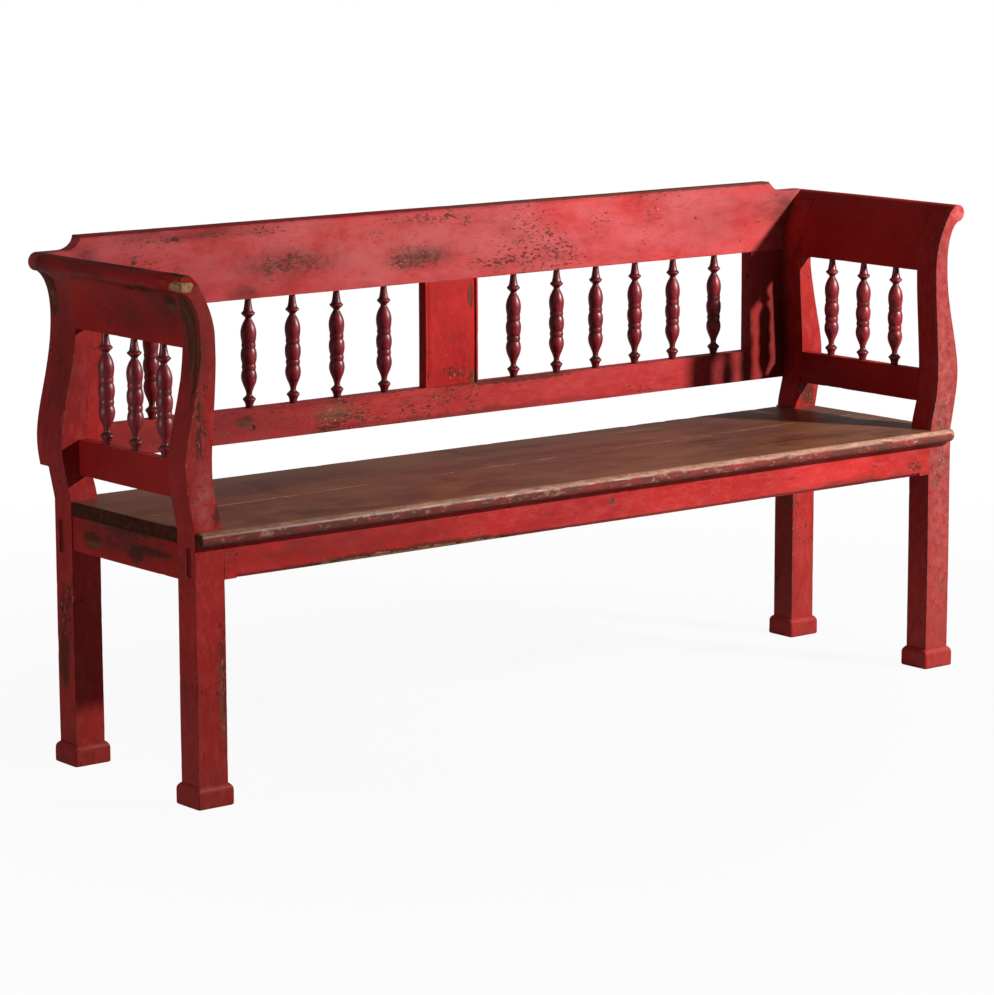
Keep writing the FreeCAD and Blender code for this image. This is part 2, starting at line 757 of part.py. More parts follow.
def stile_tenon(low, high, near, far, slack, thick):
    """A stub tenon or, with slack, its mortise, in the middle of a piece as thick as given."""
    middle = legs_back + thick / 2
    half = size.back_tenon_thick / 2 + slack
    near, far = min(near, far) - slack, max(near, far) + slack
    return block((near, middle - half, low - slack), (far, middle + half, high + slack))


def end_stile_tenon(side_name, slack):
    """The end stile's stub up into the top rail."""
    side = SIDES[side_name]
    far = bay_ends(side_name)[1]
    outer = side * (half_width - size.leg_width)
    shoulder = side * size.back_tenon_shoulder
    return stile_tenon(top_rail_underside - slack, top_rail_underside + size.stub_length, far + shoulder,
                       outer, slack, size.back_thick)


def bottom_rail_tenon(side_name, slack):
    """The bottom rail's stub into an end stile."""
    far = bay_ends(side_name)[1]
    return stile_tenon(back_rail_underside + size.back_tenon_shoulder,
                       back_rail_top - size.back_tenon_shoulder, far,
                       far + SIDES[side_name] * size.stub_length, slack, size.back_thick)


def centre_tenons(slack):
    """The centre stile's two stubs, as one bar from rail to rail."""
    edges = [bay_ends(side_name)[0] - SIDES[side_name] * size.back_tenon_shoulder * 2 for side_name in SIDES]
    return stile_tenon(back_rail_top - size.stub_length, top_rail_underside + size.stub_length, *edges, slack,
                       size.centre_stile_thick)


def back_top_rail():
    band = back_region().common(full_band(top_rail_underside, crest))
    shape = band.fuse(crown()).removeSplitter()
    bevel = Part.Face(Part.makePolygon([
        Vector(-size.frame_width, legs_back, crest - size.top_bevel),
        Vector(-size.frame_width, legs_back, crest),
        Vector(-size.frame_width, legs_back + size.top_bevel, crest),
        Vector(-size.frame_width, legs_back, crest - size.top_bevel)])).extrude(Vector(2 * size.frame_width, 0, 0))
    cutters = [bevel, centre_tenons(size.fit_gap)]
    cutters += [end_stile_tenon(side_name, size.fit_gap) for side_name in SIDES]
    for side_name in SIDES:
        cutters += [socket(spot, top_rail_underside, size.spindle_socket)
                    for spot in back_spindle_spots(side_name)]
    for cutter in cutters:
        shape = shape.cut(cutter)
    add_piece("back_top_rail", shape)


def back_bottom_rail():
    ends = [bay_ends(side_name)[1] for side_name in SIDES]
    shape = block((ends[0], legs_back, back_rail_underside),
                  (ends[1], legs_back + size.back_thick, back_rail_top))
    for side_name in SIDES:
        shape = shape.fuse(bottom_rail_tenon(side_name, 0))
    cutters = [centre_tenons(size.fit_gap), plug_hole()]
    for side_name in SIDES:
        cutters += [socket(spot, back_rail_top, -size.spindle_socket)
                    for spot in back_spindle_spots(side_name)]
    for cutter in cutters:
        shape = shape.cut(cutter)
    add_piece("back_bottom_rail", shape)


def back_end_stile(side_name):
    """An end stile, sawn outside to the S shape of the post that it is pegged to."""
    side = SIDES[side_name]
    far = bay_ends(side_name)[1]
    column = block((far, legs_back, back_rail_underside),
                   (side * size.frame_width, legs_back + size.back_thick, top_rail_underside))
    shape = back_region().common(column)
    shape = shape.fuse(end_stile_tenon(side_name, 0))
    cutters = [bottom_rail_tenon(side_name, size.fit_gap)]
    cutters += [peg_hole(side_name, level) for level in BACK_PEG_SHARES]
    for cutter in cutters:
        shape = shape.cut(cutter)
    add_piece("back_stile_" + side_name, shape)


def centre_stile():
    """The centre stile, with a scratched bead along both upright edges of its face."""
    body = new_body("back_stile_centre")
    half = "centre_stile_width / 2"
    quirk = "(%s - bead_width)" % half
    slope = "(%s - bead_width - quirk_slope)" % half
    section = outline(body, "XY_Plane", (
        ("-" + half, "0"), ("-" + quirk, "0"), ("-" + quirk, "quirk_depth"), ("-" + slope, "0"),
        (slope, "0"), (quirk, "quirk_depth"), (quirk, "0"), (half, "0"),
        (half, "centre_stile_thick"), ("-" + half, "centre_stile_thick")))
    window = ("(roll_rise + roll_radius + crest_rise - top_rail_height - back_rail_gap"
              " - back_rail_height)")
    extrude(body, "Pad", section, window, "One side")
    tenon = rectangle(body, "XY_Plane", "-(%s - 2 * back_tenon_shoulder)" % half,
                      "(centre_stile_thick - back_tenon_thick) / 2",
                      "(centre_stile_width - 4 * back_tenon_shoulder)",
                      "back_tenon_thick")
    tenon.setExpression("AttachmentOffset.Base.z", rule("%s / 2" % window))
    extrude(body, "Pad", tenon, window + " + 2 * stub_length")
    place(body, "-centre_stile_shift", FRONT_RULE + " + frame_depth",
          SEAT_TOP_RULE + " + back_rail_gap + back_rail_height")


# Pegs and plug of the back

def peg_spot(side_name, level):
    """Where a peg of the back enters, on the back's rear face."""
    share = BACK_PEG_SHARES[level]
    side = SIDES[side_name]
    spot = side_point(side, sway_middle(share), seat_top + share * arms[side].rise)
    return spot + Vector(0, legs_back + size.back_thick, 0)


def peg_hole(side_name, level):
    spot = peg_spot(side_name, level) + Vector(0, OVERRUN, 0)
    depth = size.back_thick + size.peg_bite + size.fit_gap + OVERRUN
    return whittled_peg(spot, -depth, size.fit_gap)


def whittled_peg(spot, length, slack=0):
    """An eight-sided peg along Y from a spot, or with slack its hole; a negative length runs forwards."""
    turn = 2 * math.pi / PEG_FLATS
    radius = size.peg_radius + slack
    corners = [spot + Vector(math.cos(turn * index), 0, math.sin(turn * index)) * radius
               for index in range(PEG_FLATS)]
    return flat_face(corners).extrude(Vector(0, length, 0))


def back_peg(side_name, level):
    length = size.back_thick + size.peg_bite
    add_piece("back_peg_%s_%s" % (side_name, level), whittled_peg(peg_spot(side_name, level), -length))


def plug_spot():
    return Vector(-size.plug_left, legs_back, seat_top + size.plug_rise)


def plug_hole():
    spot = plug_spot() - Vector(0, OVERRUN, 0)
    return whittled_peg(spot, size.plug_depth + OVERRUN + size.fit_gap, size.fit_gap)


def back_plug():
    """The plug in the face of the back's bottom rail."""
    add_piece("back_rail_plug", whittled_peg(plug_spot(), size.plug_depth))


# The whole bench

for side_name, side in SIDES.items():
    for front in (True, False):
        post(side_name, front)
        foot(side_name, front)
    end_rail(side_name)
    arm_board(side_name)
    arm_roll(side_name)
    arm_rail(side_name)
    for number, spot in enumerate(arm_spindle_spots(side_name), start=1):
        turning = spindle(spot, arms[side].rail_top, arms[side].window_top)
        add_piece("arm_spindle_%s_%d" % (side_name, number), turning)
    back_end_stile(side_name)
    for number, spot in enumerate(back_spindle_spots(side_name), start=1):
        add_piece("back_spindle_%s_%d" % (side_name, number), spindle(spot, back_rail_top, top_rail_underside))
    for level in BACK_PEG_SHARES:
        back_peg(side_name, level)
for end in ("front", "rear"):
    long_rail(end)
    bearer_peg(end)
bearer()
front_plank()
rear_plank()
back_top_rail()
back_bottom_rail()
centre_stile()
back_plug()
document.recompute()

# Checks before anything is written
for item in document.Objects:
    if "Invalid" in item.State or "Error" in item.State:
        raise RuntimeError("%s is %s" % (item.Label, item.State))
for piece in pieces:
    shape = piece.Shape
    if shape.isNull() or not shape.isValid() or len(shape.Solids) != 1:
        raise RuntimeError("%s has no single valid solid" % piece.Label)

os.makedirs("parts", exist_ok=True)
for piece in pieces:
    piece.Shape.exportStep(os.path.join("parts", piece.Label + ".step"))
print("%d pieces written" % len(pieces))
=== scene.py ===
import math

import bmesh
import bpy
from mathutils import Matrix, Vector, noise


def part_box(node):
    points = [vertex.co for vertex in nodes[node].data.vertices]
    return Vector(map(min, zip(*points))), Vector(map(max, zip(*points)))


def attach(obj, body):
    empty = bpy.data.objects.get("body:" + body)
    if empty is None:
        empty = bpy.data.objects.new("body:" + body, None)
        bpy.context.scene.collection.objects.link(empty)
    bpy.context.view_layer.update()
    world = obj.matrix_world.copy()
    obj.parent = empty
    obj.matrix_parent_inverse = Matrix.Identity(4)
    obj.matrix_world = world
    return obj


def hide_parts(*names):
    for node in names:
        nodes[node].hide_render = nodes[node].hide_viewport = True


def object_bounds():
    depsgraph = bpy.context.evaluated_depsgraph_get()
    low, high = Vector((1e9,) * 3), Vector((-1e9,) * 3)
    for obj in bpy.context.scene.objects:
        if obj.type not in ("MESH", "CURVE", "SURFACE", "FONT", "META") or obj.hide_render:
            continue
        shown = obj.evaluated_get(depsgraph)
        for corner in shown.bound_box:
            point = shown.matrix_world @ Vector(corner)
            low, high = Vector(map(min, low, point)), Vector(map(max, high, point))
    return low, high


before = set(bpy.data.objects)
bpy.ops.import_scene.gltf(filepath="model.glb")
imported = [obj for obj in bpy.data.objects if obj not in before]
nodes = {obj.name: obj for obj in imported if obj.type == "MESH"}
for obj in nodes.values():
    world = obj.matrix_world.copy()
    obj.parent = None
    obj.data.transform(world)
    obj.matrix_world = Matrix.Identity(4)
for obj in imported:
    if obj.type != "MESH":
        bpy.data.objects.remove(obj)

# An old red-painted hall bench: every joined board is shown with eased and knocked edges, the
# turnings are turned round, and paint, bare wood and the worn seat are node materials.
# X runs along the seat, Y towards the back, Z up; metres.

cad_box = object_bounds()
SIDES = ("left", "right")
X, Y, Z = range(3)

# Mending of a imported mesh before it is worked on
WELD = 0.00002
FLAT = math.radians(1.5)

# Easing of the arrises: the least fold and the shortest edge that are eased, and steps round them
FOLD = math.radians(38)
SHORTEST_EDGE = 0.0042
EASE_STEPS = 3

# Distance between the rings of points that let a board bend and take knocks, and how near to a
# ring a point counts as on it
RING_STEP = 0.012
ON_RING = 0.0004

# Unevenness of hand planing; knocks along the edges, each with a finer one in it, that start where
# the noise passes a least value
PLANING_DEPTH = 0.0008
PLANING_SCALE = 4.0
PLANING_SEED = 5
KNOCK_DEPTH = 0.0022
KNOCK_SCALE = 31
FINER_KNOCK = 2.3
LEAST_KNOCK = 0.30

# Folds sharper than this stay sharp to the light
BOARD_ANGLE = math.radians(40)
FOOT_ANGLE = math.radians(60)

# Without a seed of its own the planing noise takes one from the clock and differs each time
noise.seed_set(PLANING_SEED)


# Boards

def welded(node):
    """A CAD node's mesh as one skin, each flat part one face."""
    mesh = bmesh.new()
    mesh.from_mesh(nodes[node].data)
    bmesh.ops.remove_doubles(mesh, verts=mesh.verts, dist=WELD)
    bmesh.ops.dissolve_limit(mesh, angle_limit=FLAT, verts=mesh.verts, edges=mesh.edges)
    return mesh


def cut_ring(mesh, axis, place):
    """Cuts one ring of points round a board, square to one axis."""
    direction = Vector([1.0 if index == axis else 0.0 for index in range(3)])
    bmesh.ops.bisect_plane(mesh, geom=mesh.verts[:] + mesh.edges[:] + mesh.faces[:], dist=ON_RING,
                           plane_co=direction * place, plane_no=direction)


def add_rings(mesh, axis, start, end):
    """Cuts rings of points at even steps between two places."""
    count = int((end - start) / RING_STEP)
    for step in range(count + 1):
        cut_ring(mesh, axis, start + (end - start) * step / count)


def ease_arrises(mesh, width):
    """Rounds the outer edges and returns the points that lie on them."""
    sharp = [edge for edge in mesh.edges if len(edge.link_faces) == 2
             and edge.calc_face_angle_signed(0) > FOLD and edge.calc_length() > SHORTEST_EDGE]
    made = bmesh.ops.bevel(mesh, geom=sharp, offset=width, offset_type="OFFSET", segments=EASE_STEPS,
                           profile=0.5, affect="EDGES", clamp_overlap=True)
    return {vert for face in made["faces"] for vert in face.verts}


def hand_worked(mesh, arrises, knocks):
    """Moves points as planing by hand and years of knocks would have left them."""
    mesh.normal_update()
    moves = []
    for vert in mesh.verts:
        move = noise.noise_vector(vert.co * PLANING_SCALE) * PLANING_DEPTH
        if vert in arrises:
            finer = noise.noise(vert.co * KNOCK_SCALE * FINER_KNOCK)
            rough = noise.noise(vert.co * KNOCK_SCALE) + 0.5 * finer
            move -= vert.normal * max(0.0, rough - LEAST_KNOCK) * KNOCK_DEPTH * knocks
        moves.append(move)
    for vert, move in zip(mesh.verts, moves):
        vert.co += move


def inside_box(mesh):
    """Keeps every point inside the CAD model's box."""
    low, high = cad_box
    for vert in mesh.verts:
        for axis in range(3):
            vert.co[axis] = min(max(vert.co[axis], low[axis]), high[axis])


def mesh_data(name, mesh):
    """Turns a bmesh into mesh data and lets it go."""
    data = bpy.data.meshes.new(name)
    mesh.to_mesh(data)
    mesh.free()
    return data


def new_object(name, data):
    """An object in the scene's own collection."""
    made = bpy.data.objects.new(name, data)
    bpy.context.scene.collection.objects.link(made)
    return made


def make_piece(name, mesh, finish, smooth_angle=BOARD_ANGLE):
    """Turns a bmesh into a piece with its finish and smooth faces."""
    inside_box(mesh)
    data = mesh_data(name, mesh)
    piece = new_object(name, data)
    data.materials.append(finish)
    data.shade_smooth()
    data.set_sharp_from_angle(angle=smooth_angle)
    weigh = piece.modifiers.new("face_weights", "WEIGHTED_NORMAL")
    weigh.keep_sharp = True
    return settled(piece)


def settled(piece):
    """Puts the result of a piece's modifiers into its mesh."""
    graph = bpy.context.evaluated_depsgraph_get()
    graph.update()
    data = bpy.data.meshes.new_from_object(piece.evaluated_get(graph), preserve_all_data_layers=True,
                                           depsgraph=graph)
    piece.modifiers.clear()
    old = piece.data
    piece.data = data
    name = piece.name
    if old.users == 0:
        bpy.data.meshes.remove(old)
    data.name = name
    return piece


def stand_for(piece, slot, *replaced):
    """Lets a piece ride on the bench in place of CAD nodes."""
    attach(piece, "root")
    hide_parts(*replaced)


def board(node, axis, reach, finish, slot="frame_paint", ease=0.0019, knocks=1.0, split=None):
    """An old board: the CAD node with eased, knocked edges.

    Reach is the length at each end, along the axis, that has no rings."""
    mesh = welded(node)
    low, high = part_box(node)
    start, end = low[axis] + reach[0], high[axis] - reach[1]
    add_rings(mesh, axis, start, end)
    arrises = ease_arrises(mesh, ease)
    hand_worked(mesh, arrises, knocks)
    if split:
        split(mesh, low)
    stand_for(make_piece("worn_" + node, mesh, finish), slot, node)


# How far the left roll is split along from its front end, how deep, and how far its end is bitten
# back; rings of points along it, and the coarse and fine raggedness
SPLIT_LENGTH = 0.066
SPLIT_DEPTH = 0.0085
SPLIT_BITE = 0.006
SPLIT_STEP = 0.004
SPLIT_COARSE = 90
SPLIT_FINE = 240


def split_roll(mesh, low):
    """Tears the outer side off the front end of the left arm's roll."""
    for step in range(1, int(SPLIT_LENGTH / SPLIT_STEP)):
        cut_ring(mesh, Y, low.y + step * SPLIT_STEP)
    mesh.normal_update()
    for vert in mesh.verts:
        share = min(max((low.y + SPLIT_LENGTH - vert.co.y) / (SPLIT_LENGTH * 0.3), 0.0), 1.0)
        outward = min(max(0.25 - vert.normal.x - 0.3 * vert.normal.z, 0.0), 1.0)
        rough = (1 + 0.5 * noise.noise(vert.co * SPLIT_COARSE)
                 + 0.3 * noise.noise(vert.co * SPLIT_FINE))
        torn = SPLIT_DEPTH * share * outward * rough
        vert.co.x += torn
        vert.co.z -= 0.3 * torn
        if vert.co.y < low.y + SPLIT_STEP:
            vert.co.y += SPLIT_BITE * max(0.0, rough - 0.6) * outward


# Finishes

def new_finish(name):
    """A material with an empty tree, its output and its shader."""
    material = bpy.data.materials.new(name)
    material.use_nodes = True
    tree = material.node_tree
    tree.nodes.clear()
    output = tree.nodes.new("ShaderNodeOutputMaterial")
    shader = tree.nodes.new("ShaderNodeBsdfPrincipled")
    tree.links.new(shader.outputs["BSDF"], output.inputs["Surface"])
    return material, tree, shader


def feed(socket, value):
    """Links a socket, or sets it where the value is a number or a colour."""
    if isinstance(value, bpy.types.NodeSocket):
        socket.id_data.links.new(value, socket)
    elif hasattr(value, "__len__") and len(value) == 3 and socket.type == "RGBA":
        socket.default_value = (*value, 1)
    else:
        socket.default_value = value


def new_node(kind, *values, **settings):
    """A node in the tree that its values come from, its first inputs fed with them."""
    tree = next(value for value in values if isinstance(value, bpy.types.NodeSocket)).id_data
    node = tree.nodes.new(kind)
    for setting, choice in settings.items():
        setattr(node, setting, choice)
    for socket, value in zip(node.inputs, values):
        feed(socket, value)
    return node


def object_places(tree):
    """Places in the object's own frame, in metres."""
    return tree.nodes.new("ShaderNodeTexCoord").outputs["Object"]


def stretched(places, scale, shift=(0, 0, 0)):
    """Places scaled along each axis, and shifted."""
    node = new_node("ShaderNodeMapping", places)
    node.inputs["Scale"].default_value = scale
    node.inputs["Location"].default_value = shift
    return node.outputs["Vector"]


def clouds(places, scale, detail=4.0, roughness=0.55, distortion=0.0, output="Fac"):
    """A soft noise pattern."""
    node = new_node("ShaderNodeTexNoise", places)
    node.inputs["Scale"].default_value = scale
    node.inputs["Detail"].default_value = detail
    node.inputs["Roughness"].default_value = roughness
    node.inputs["Distortion"].default_value = distortion
    return node.outputs[output]


def spread(value, low, high, to_low=0.0, to_high=1.0):
    """Maps a range to another, held at its ends."""
    node = new_node("ShaderNodeMapRange", value)
    for name, number in (("From Min", low), ("From Max", high), ("To Min", to_low),
                         ("To Max", to_high)):
        node.inputs[name].default_value = number
    return node.outputs["Result"]


def maths(kind, first, second=0.0):
    """A sum of one or two values."""
    return new_node("ShaderNodeMath", first, second, operation=kind).outputs[0]


def times(first, second):
    return maths("MULTIPLY", first, second)


def plus(first, second):
    return maths("ADD", first, second)


def minus(first, second):
    return maths("SUBTRACT", first, second)


def larger(first, second):
    return maths("MAXIMUM", first, second)


def vector_maths(kind, *values):
    """A vector sum; a length or a dot product comes out as a number."""
    node = new_node("ShaderNodeVectorMath", *values, operation=kind)
    return node.outputs["Value" if kind in ("LENGTH", "DOT_PRODUCT") else "Vector"]


def split_axes(places):
    """The X, Y and Z of places."""
    return new_node("ShaderNodeSeparateXYZ", places).outputs


def blended(share, first, second):
    """Goes from the first colour to the second as the share goes from 0 to 1."""
    node = new_node("ShaderNodeMix", share, data_type="RGBA")
    feed(node.inputs[6], first)
    feed(node.inputs[7], second)
    return node.outputs[2]


def dented(shader, height, strength, depth):
    """Gives the surface the fine ups and downs of a pattern."""
    bump = height.id_data.nodes.new("ShaderNodeBump")
    bump.inputs["Strength"].default_value = strength
    bump.inputs["Distance"].default_value = depth
    feed(bump.inputs["Height"], height)
    feed(shader.inputs["Normal"], bump.outputs["Normal"])


EDGE_REACH = 0.005
EDGE_SAMPLES = 6


def edge_wear(tree):
    """How near a place is to an outer edge: the turn between the face and its rounded self."""
    rounded = tree.nodes.new("ShaderNodeBevel")
    rounded.samples = EDGE_SAMPLES
    rounded.inputs["Radius"].default_value = EDGE_REACH
    face = tree.nodes.new("ShaderNodeNewGeometry")
    turn = vector_maths("DOT_PRODUCT", rounded.outputs["Normal"], face.outputs["Normal"])
    return spread(turn, 1.0, 0.86)


# How far patterns are drawn out along the grain, and half as far
GRAIN_SCALE = {"x": (0.09, 1.0, 1.0), "y": (1.0, 0.09, 1.0), "z": (1.0, 1.0, 0.09)}
HALF_GRAIN = 0.42

RED = (0.56, 0.024, 0.020)
DEEP_RED = (0.35, 0.010, 0.009)
LONG_BOARD_RED = (0.42, 0.020, 0.018)
DULL_RED = (0.43, 0.018, 0.015)
DULL_DEEP_RED = (0.27, 0.008, 0.007)
FADED_RED = (0.66, 0.10, 0.095)
SCUFF_AND_SHEEN_RED = (0.45, 0.125, 0.12)
SLOT_RED = (0.17, 0.008, 0.008)
CREST_RED = (0.14, 0.010, 0.011)
CREST_BROWN = (0.085, 0.036, 0.022)
FLOOR_BROWN = (0.20, 0.045, 0.034)
POLISHED = (0.50, 0.14, 0.11)
TURNED_RED = (0.31, 0.012, 0.021)
TURNED_DEEP_RED = (0.125, 0.004, 0.010)
HAZE_AND_SHEEN = (0.60, 0.15, 0.16)
PALE_DUST = (0.62, 0.34, 0.28)
GRIME = (0.030, 0.008, 0.007)
SOOT_AND_SHADE = (0.075, 0.018, 0.015)
BARE_BROWN = (0.062, 0.020, 0.011)
PALE_BROWN = (0.24, 0.105, 0.052)
RAW_WOOD = (0.55, 0.29, 0.14)

# Noise patterns: scale, then detail, roughness and distortion where they differ from the usual
BROAD = (3.2, 6, 0.62)
STREAKS = (90, 7, 0.7)
FILM_AND_SHEEN = (11, 7, 0.66)
MOTTLE = (24, 9, 0.72, 0.4)
GREY_PATCHES = (15, 8, 0.74, 0.3)
SOOT_AND_SHADE_CLOUDS = (45, 8, 0.76)
HAIR_CRACKS = (300, 3, 0.6)
CRACKED_PARTS = (6, 4)
FLAKED_PARTS = (8, 5, 0.62)
RAGGED = (42, 8, 0.76)
CRUMBS = (75, 9, 0.8)
WOOD_STREAKS = (60, 4)
SCUFFS = (60, 7, 0.7)
FIBRES = (190, 5, 0.7)
RUBBED_PARTS = (15, 6, 0.7)
BRUSHING = (20, 7, 0.7)
TURNED_MOTTLE = (62, 8, 0.72)
GROOVE_DIRT = (60, 5)

# How outlines are pushed about: scale of the noise and distance, for soot and painted shade, and
# for the other marks
SOOT_AND_SHADE_PUSH = (20, 0.03)
MARK_PUSH = (55, 0.014)

# Sizes of the flecks of lost paint, from large to fine, and of the dust in the scratches
LARGE_FLECK = 0.013
TURNED_FLAKE = 0.009
FLECK = 0.0048
FINE_FLECK = 0.0029
DUST_FLECK = 0.0045

# Breadth of the tenon ends' edge; height over which the bevel's paint begins, and its waver; heights
# between which the uprights get browner towards the floor
SLOT_EDGE = 0.0004
CREST_EDGE = 0.0006
CREST_WAVER = 0.0012
BROWN_HEIGHTS = (0.34, 0.03)

# Dents: strength and depth; and how much the paint shines
PAINT_DENTS = (0.45, 0.0007)
TURNED_DENTS = (0.45, 0.0005)
WOOD_DENTS = (0.6, 0.0006)
PAINT_SHINE = 0.11
TURNED_SHINE = 0.5
TURNED_COAT = 0.06


def flecks(places, size, least, chance):
    """Fine ragged spots, the peaks of a cloud pattern; more of them where chance is higher."""
    field = clouds(places, 1 / size, 8, 0.68, 0.25)
    return spread(plus(field, chance), least, least + 0.03)


def pushed(places, scale, amount):
    """Places pushed about by a noise, so that outlines drawn from them are ragged."""
    push = clouds(places, scale, 5, 0.65, output="Color")
    centred = vector_maths("SUBTRACT", push, (0.5, 0.5, 0.5))
    return vector_maths("MULTIPLY_ADD", centred, (amount, amount, amount), places)


def marks_of(places, marks, kind):
    """Soft spots where the marks of one kind are, or None where there are none."""
    spots = None
    for centre, halves, strength, marked in marks:
        if marked == kind:
            scale = [1 / half for half in halves]
            shift = [-place * factor for place, factor in zip(centre, scale)]
            off_centre = vector_maths("LENGTH", stretched(places, scale, shift))
            spot = spread(off_centre, 1.0, 0.25, 0.0, strength)
            spots = spot if spots is None else larger(spots, spot)
    return spots


def red_paint(name, grain, base=RED, deep=DEEP_RED, fade=0.30, haze_and_sheen=0.0, wear=1.0, clusters=0.10,
              marks=(), slot_ends=None, crest=None, grounded=False):
    """Old red paint on planed wood: mottled, flecked where it was knocked, and marked.

    Fade and haze are the shares of faded streaks and of a pinkish tint, partly dust, partly painted
    sheen; wear is how far the edges are worn, clusters how much paint flakes away from the edges. Slot
    ends is how far out along X the tenon ends start, crest the height where the top's bevel starts."""
    material, tree, shader = new_finish(name)
    places = object_places(tree)
    along = stretched(places, GRAIN_SCALE[grain])
    half_along = stretched(places, [HALF_GRAIN if part < 1 else 1 for part in GRAIN_SCALE[grain]])
    at = split_axes(places)

    broad = clouds(places, *BROAD)
    colour = blended(spread(broad, 0.34, 0.62), deep, base)
    streaks = clouds(half_along, *STREAKS)
    colour = blended(spread(streaks, 0.46, 0.74, 0, fade), colour, FADED_RED)
    # A pinkish pale tint in streaks: partly dust, partly a painted sheen
    if haze_and_sheen:
        film_and_sheen = clouds(half_along, *FILM_AND_SHEEN)
        colour = blended(spread(film_and_sheen, 0.35, 0.62, 0.15 * haze_and_sheen, haze_and_sheen), colour, HAZE_AND_SHEEN)
    mottle = clouds(half_along, *MOTTLE)
    colour = blended(spread(mottle, 0.50, 0.70, 0, 0.5), colour, deep)
    grey = clouds(half_along, *GREY_PATCHES)
    colour = blended(spread(grey, 0.57, 0.72, 0, 0.38), colour, GRIME)

    # Dark marks: old soot and dirt in most places, painted shade at the bench's right end
    soot_and_shade = marks_of(pushed(places, *SOOT_AND_SHADE_PUSH), marks, "soot_and_shade")
    if soot_and_shade is not None:
        thin = spread(clouds(half_along, *SOOT_AND_SHADE_CLOUDS), 0.34, 0.60, 0.25, 0.85)
        colour = blended(times(soot_and_shade, thin), colour, SOOT_AND_SHADE)

    # Hair cracks and pores that run with the grain
    cracks = clouds(along, *HAIR_CRACKS)
    where = spread(clouds(places, *CRACKED_PARTS), 0.42, 0.60)
    crack_mask = times(spread(cracks, 0.64, 0.71), where)
    colour = blended(times(crack_mask, 0.6), colour, GRIME)

    # Paint lost in flecks: in loose clusters, along the edges, and thickly in the marked places
    edge = edge_wear(tree)
    about = pushed(places, *MARK_PUSH) if marks else places
    chance = spread(clouds(places, *FLAKED_PARTS), 0.40, 0.66, -0.05, clusters)
    chance = plus(chance, times(edge, 0.09 * wear))
    knocked = marks_of(about, marks, "knocked")
    if knocked is not None:
        chance = plus(chance, times(knocked, 0.14))
    lost = larger(flecks(half_along, FLECK, 0.635, chance),
                  flecks(half_along, LARGE_FLECK, 0.685, chance))
    if knocked is not None:
        dots = minus(times(knocked, 0.22), 0.08)
        lost = larger(lost, flecks(half_along, FINE_FLECK, 0.635, dots))
    ragged = clouds(places, *RAGGED)
    edge_loss = plus(times(edge, 0.24 * wear), ragged)
    lost = larger(lost, spread(edge_loss, 0.74, 0.79))
    brown = marks_of(about, marks, "brown")
    if brown is not None:
        crumbs = spread(clouds(half_along, *CRUMBS), 0.3, 0.7)
        fray = plus(brown, times(crumbs, 0.62))
        lost = larger(lost, spread(fray, 0.78, 1.10, 0, 0.95))
    wood = blended(spread(clouds(along, *WOOD_STREAKS), 0.52, 0.80), BARE_BROWN, PALE_BROWN)
    colour = blended(times(lost, 0.86), colour, wood)

    # Pale dust in the finest scratches
    dust = flecks(half_along, DUST_FLECK, 0.685, times(chance, 0.6))
    colour = blended(times(dust, 0.45), colour, PALE_DUST)

    # Pinkish bloom from scuffing, down the right front post a painted sheen, and broken-out raw wood in
    # marked places
    scuff_and_sheen = marks_of(about, marks, "scuff_and_sheen")
    if scuff_and_sheen is not None:
        thin = spread(clouds(places, *SCUFFS), 0.38, 0.60, 0.1, 0.8)
        colour = blended(times(scuff_and_sheen, thin), colour, SCUFF_AND_SHEEN_RED)
    raw = marks_of(about, marks, "raw")
    if raw is not None:
        torn = plus(times(raw, 0.5), clouds(half_along, *SCUFFS))
        fibres = spread(clouds(along, *FIBRES), 0.36, 0.62)
        fibres = blended(fibres, PALE_BROWN, RAW_WOOD)
        colour = blended(spread(torn, 0.80, 0.85), colour, fibres)

    # The line that hands and cloth polish along an arris
    polished = times(spread(edge, 0.5, 1.0),
                     spread(clouds(places, *RUBBED_PARTS), 0.48, 0.66))
    colour = blended(times(polished, 0.30 * wear), colour, POLISHED)

    if slot_ends:
        # The tenon ends in their slots
        far = maths("ABSOLUTE", at["X"])
        colour = blended(spread(far, slot_ends - SLOT_EDGE, slot_ends), colour, SLOT_RED)
    if grounded:
        # Brushed and kicked brown towards the floor
        low = times(spread(at["Z"], *BROWN_HEIGHTS, 0, 0.40),
                    spread(clouds(half_along, *BRUSHING), 0.36, 0.60, 0.25, 1.0))
        colour = blended(low, colour, FLOOR_BROWN)
    if crest:
        # The top's bevel: dark red on the left, worn to brown on the right
        wander = times(spread(ragged, 0.3, 0.7, -1.0, 1.0), CREST_WAVER)
        high = spread(plus(at["Z"], wander), crest - CREST_EDGE, crest + CREST_EDGE)
        side = plus(at["X"], spread(mottle, 0.3, 0.7, -0.25, 0.25))
        tint = blended(spread(side, -0.05, 0.20, 0, 0.85), CREST_RED, CREST_BROWN)
        colour = blended(times(high, 0.88), colour, tint)

    feed(shader.inputs["Base Color"], colour)
    gloss = spread(streaks, 0.3, 0.7, 0.38, 0.52)
    feed(shader.inputs["Roughness"], larger(gloss, times(lost, 0.75)))
    shader.inputs["Specular IOR Level"].default_value = PAINT_SHINE

    height = times(streaks, 0.35)
    height = minus(height, times(lost, 0.5))
    height = minus(height, times(crack_mask, 0.4))
    height = plus(height, times(mottle, 0.5))
    dented(shader, height, *PAINT_DENTS)
    return material


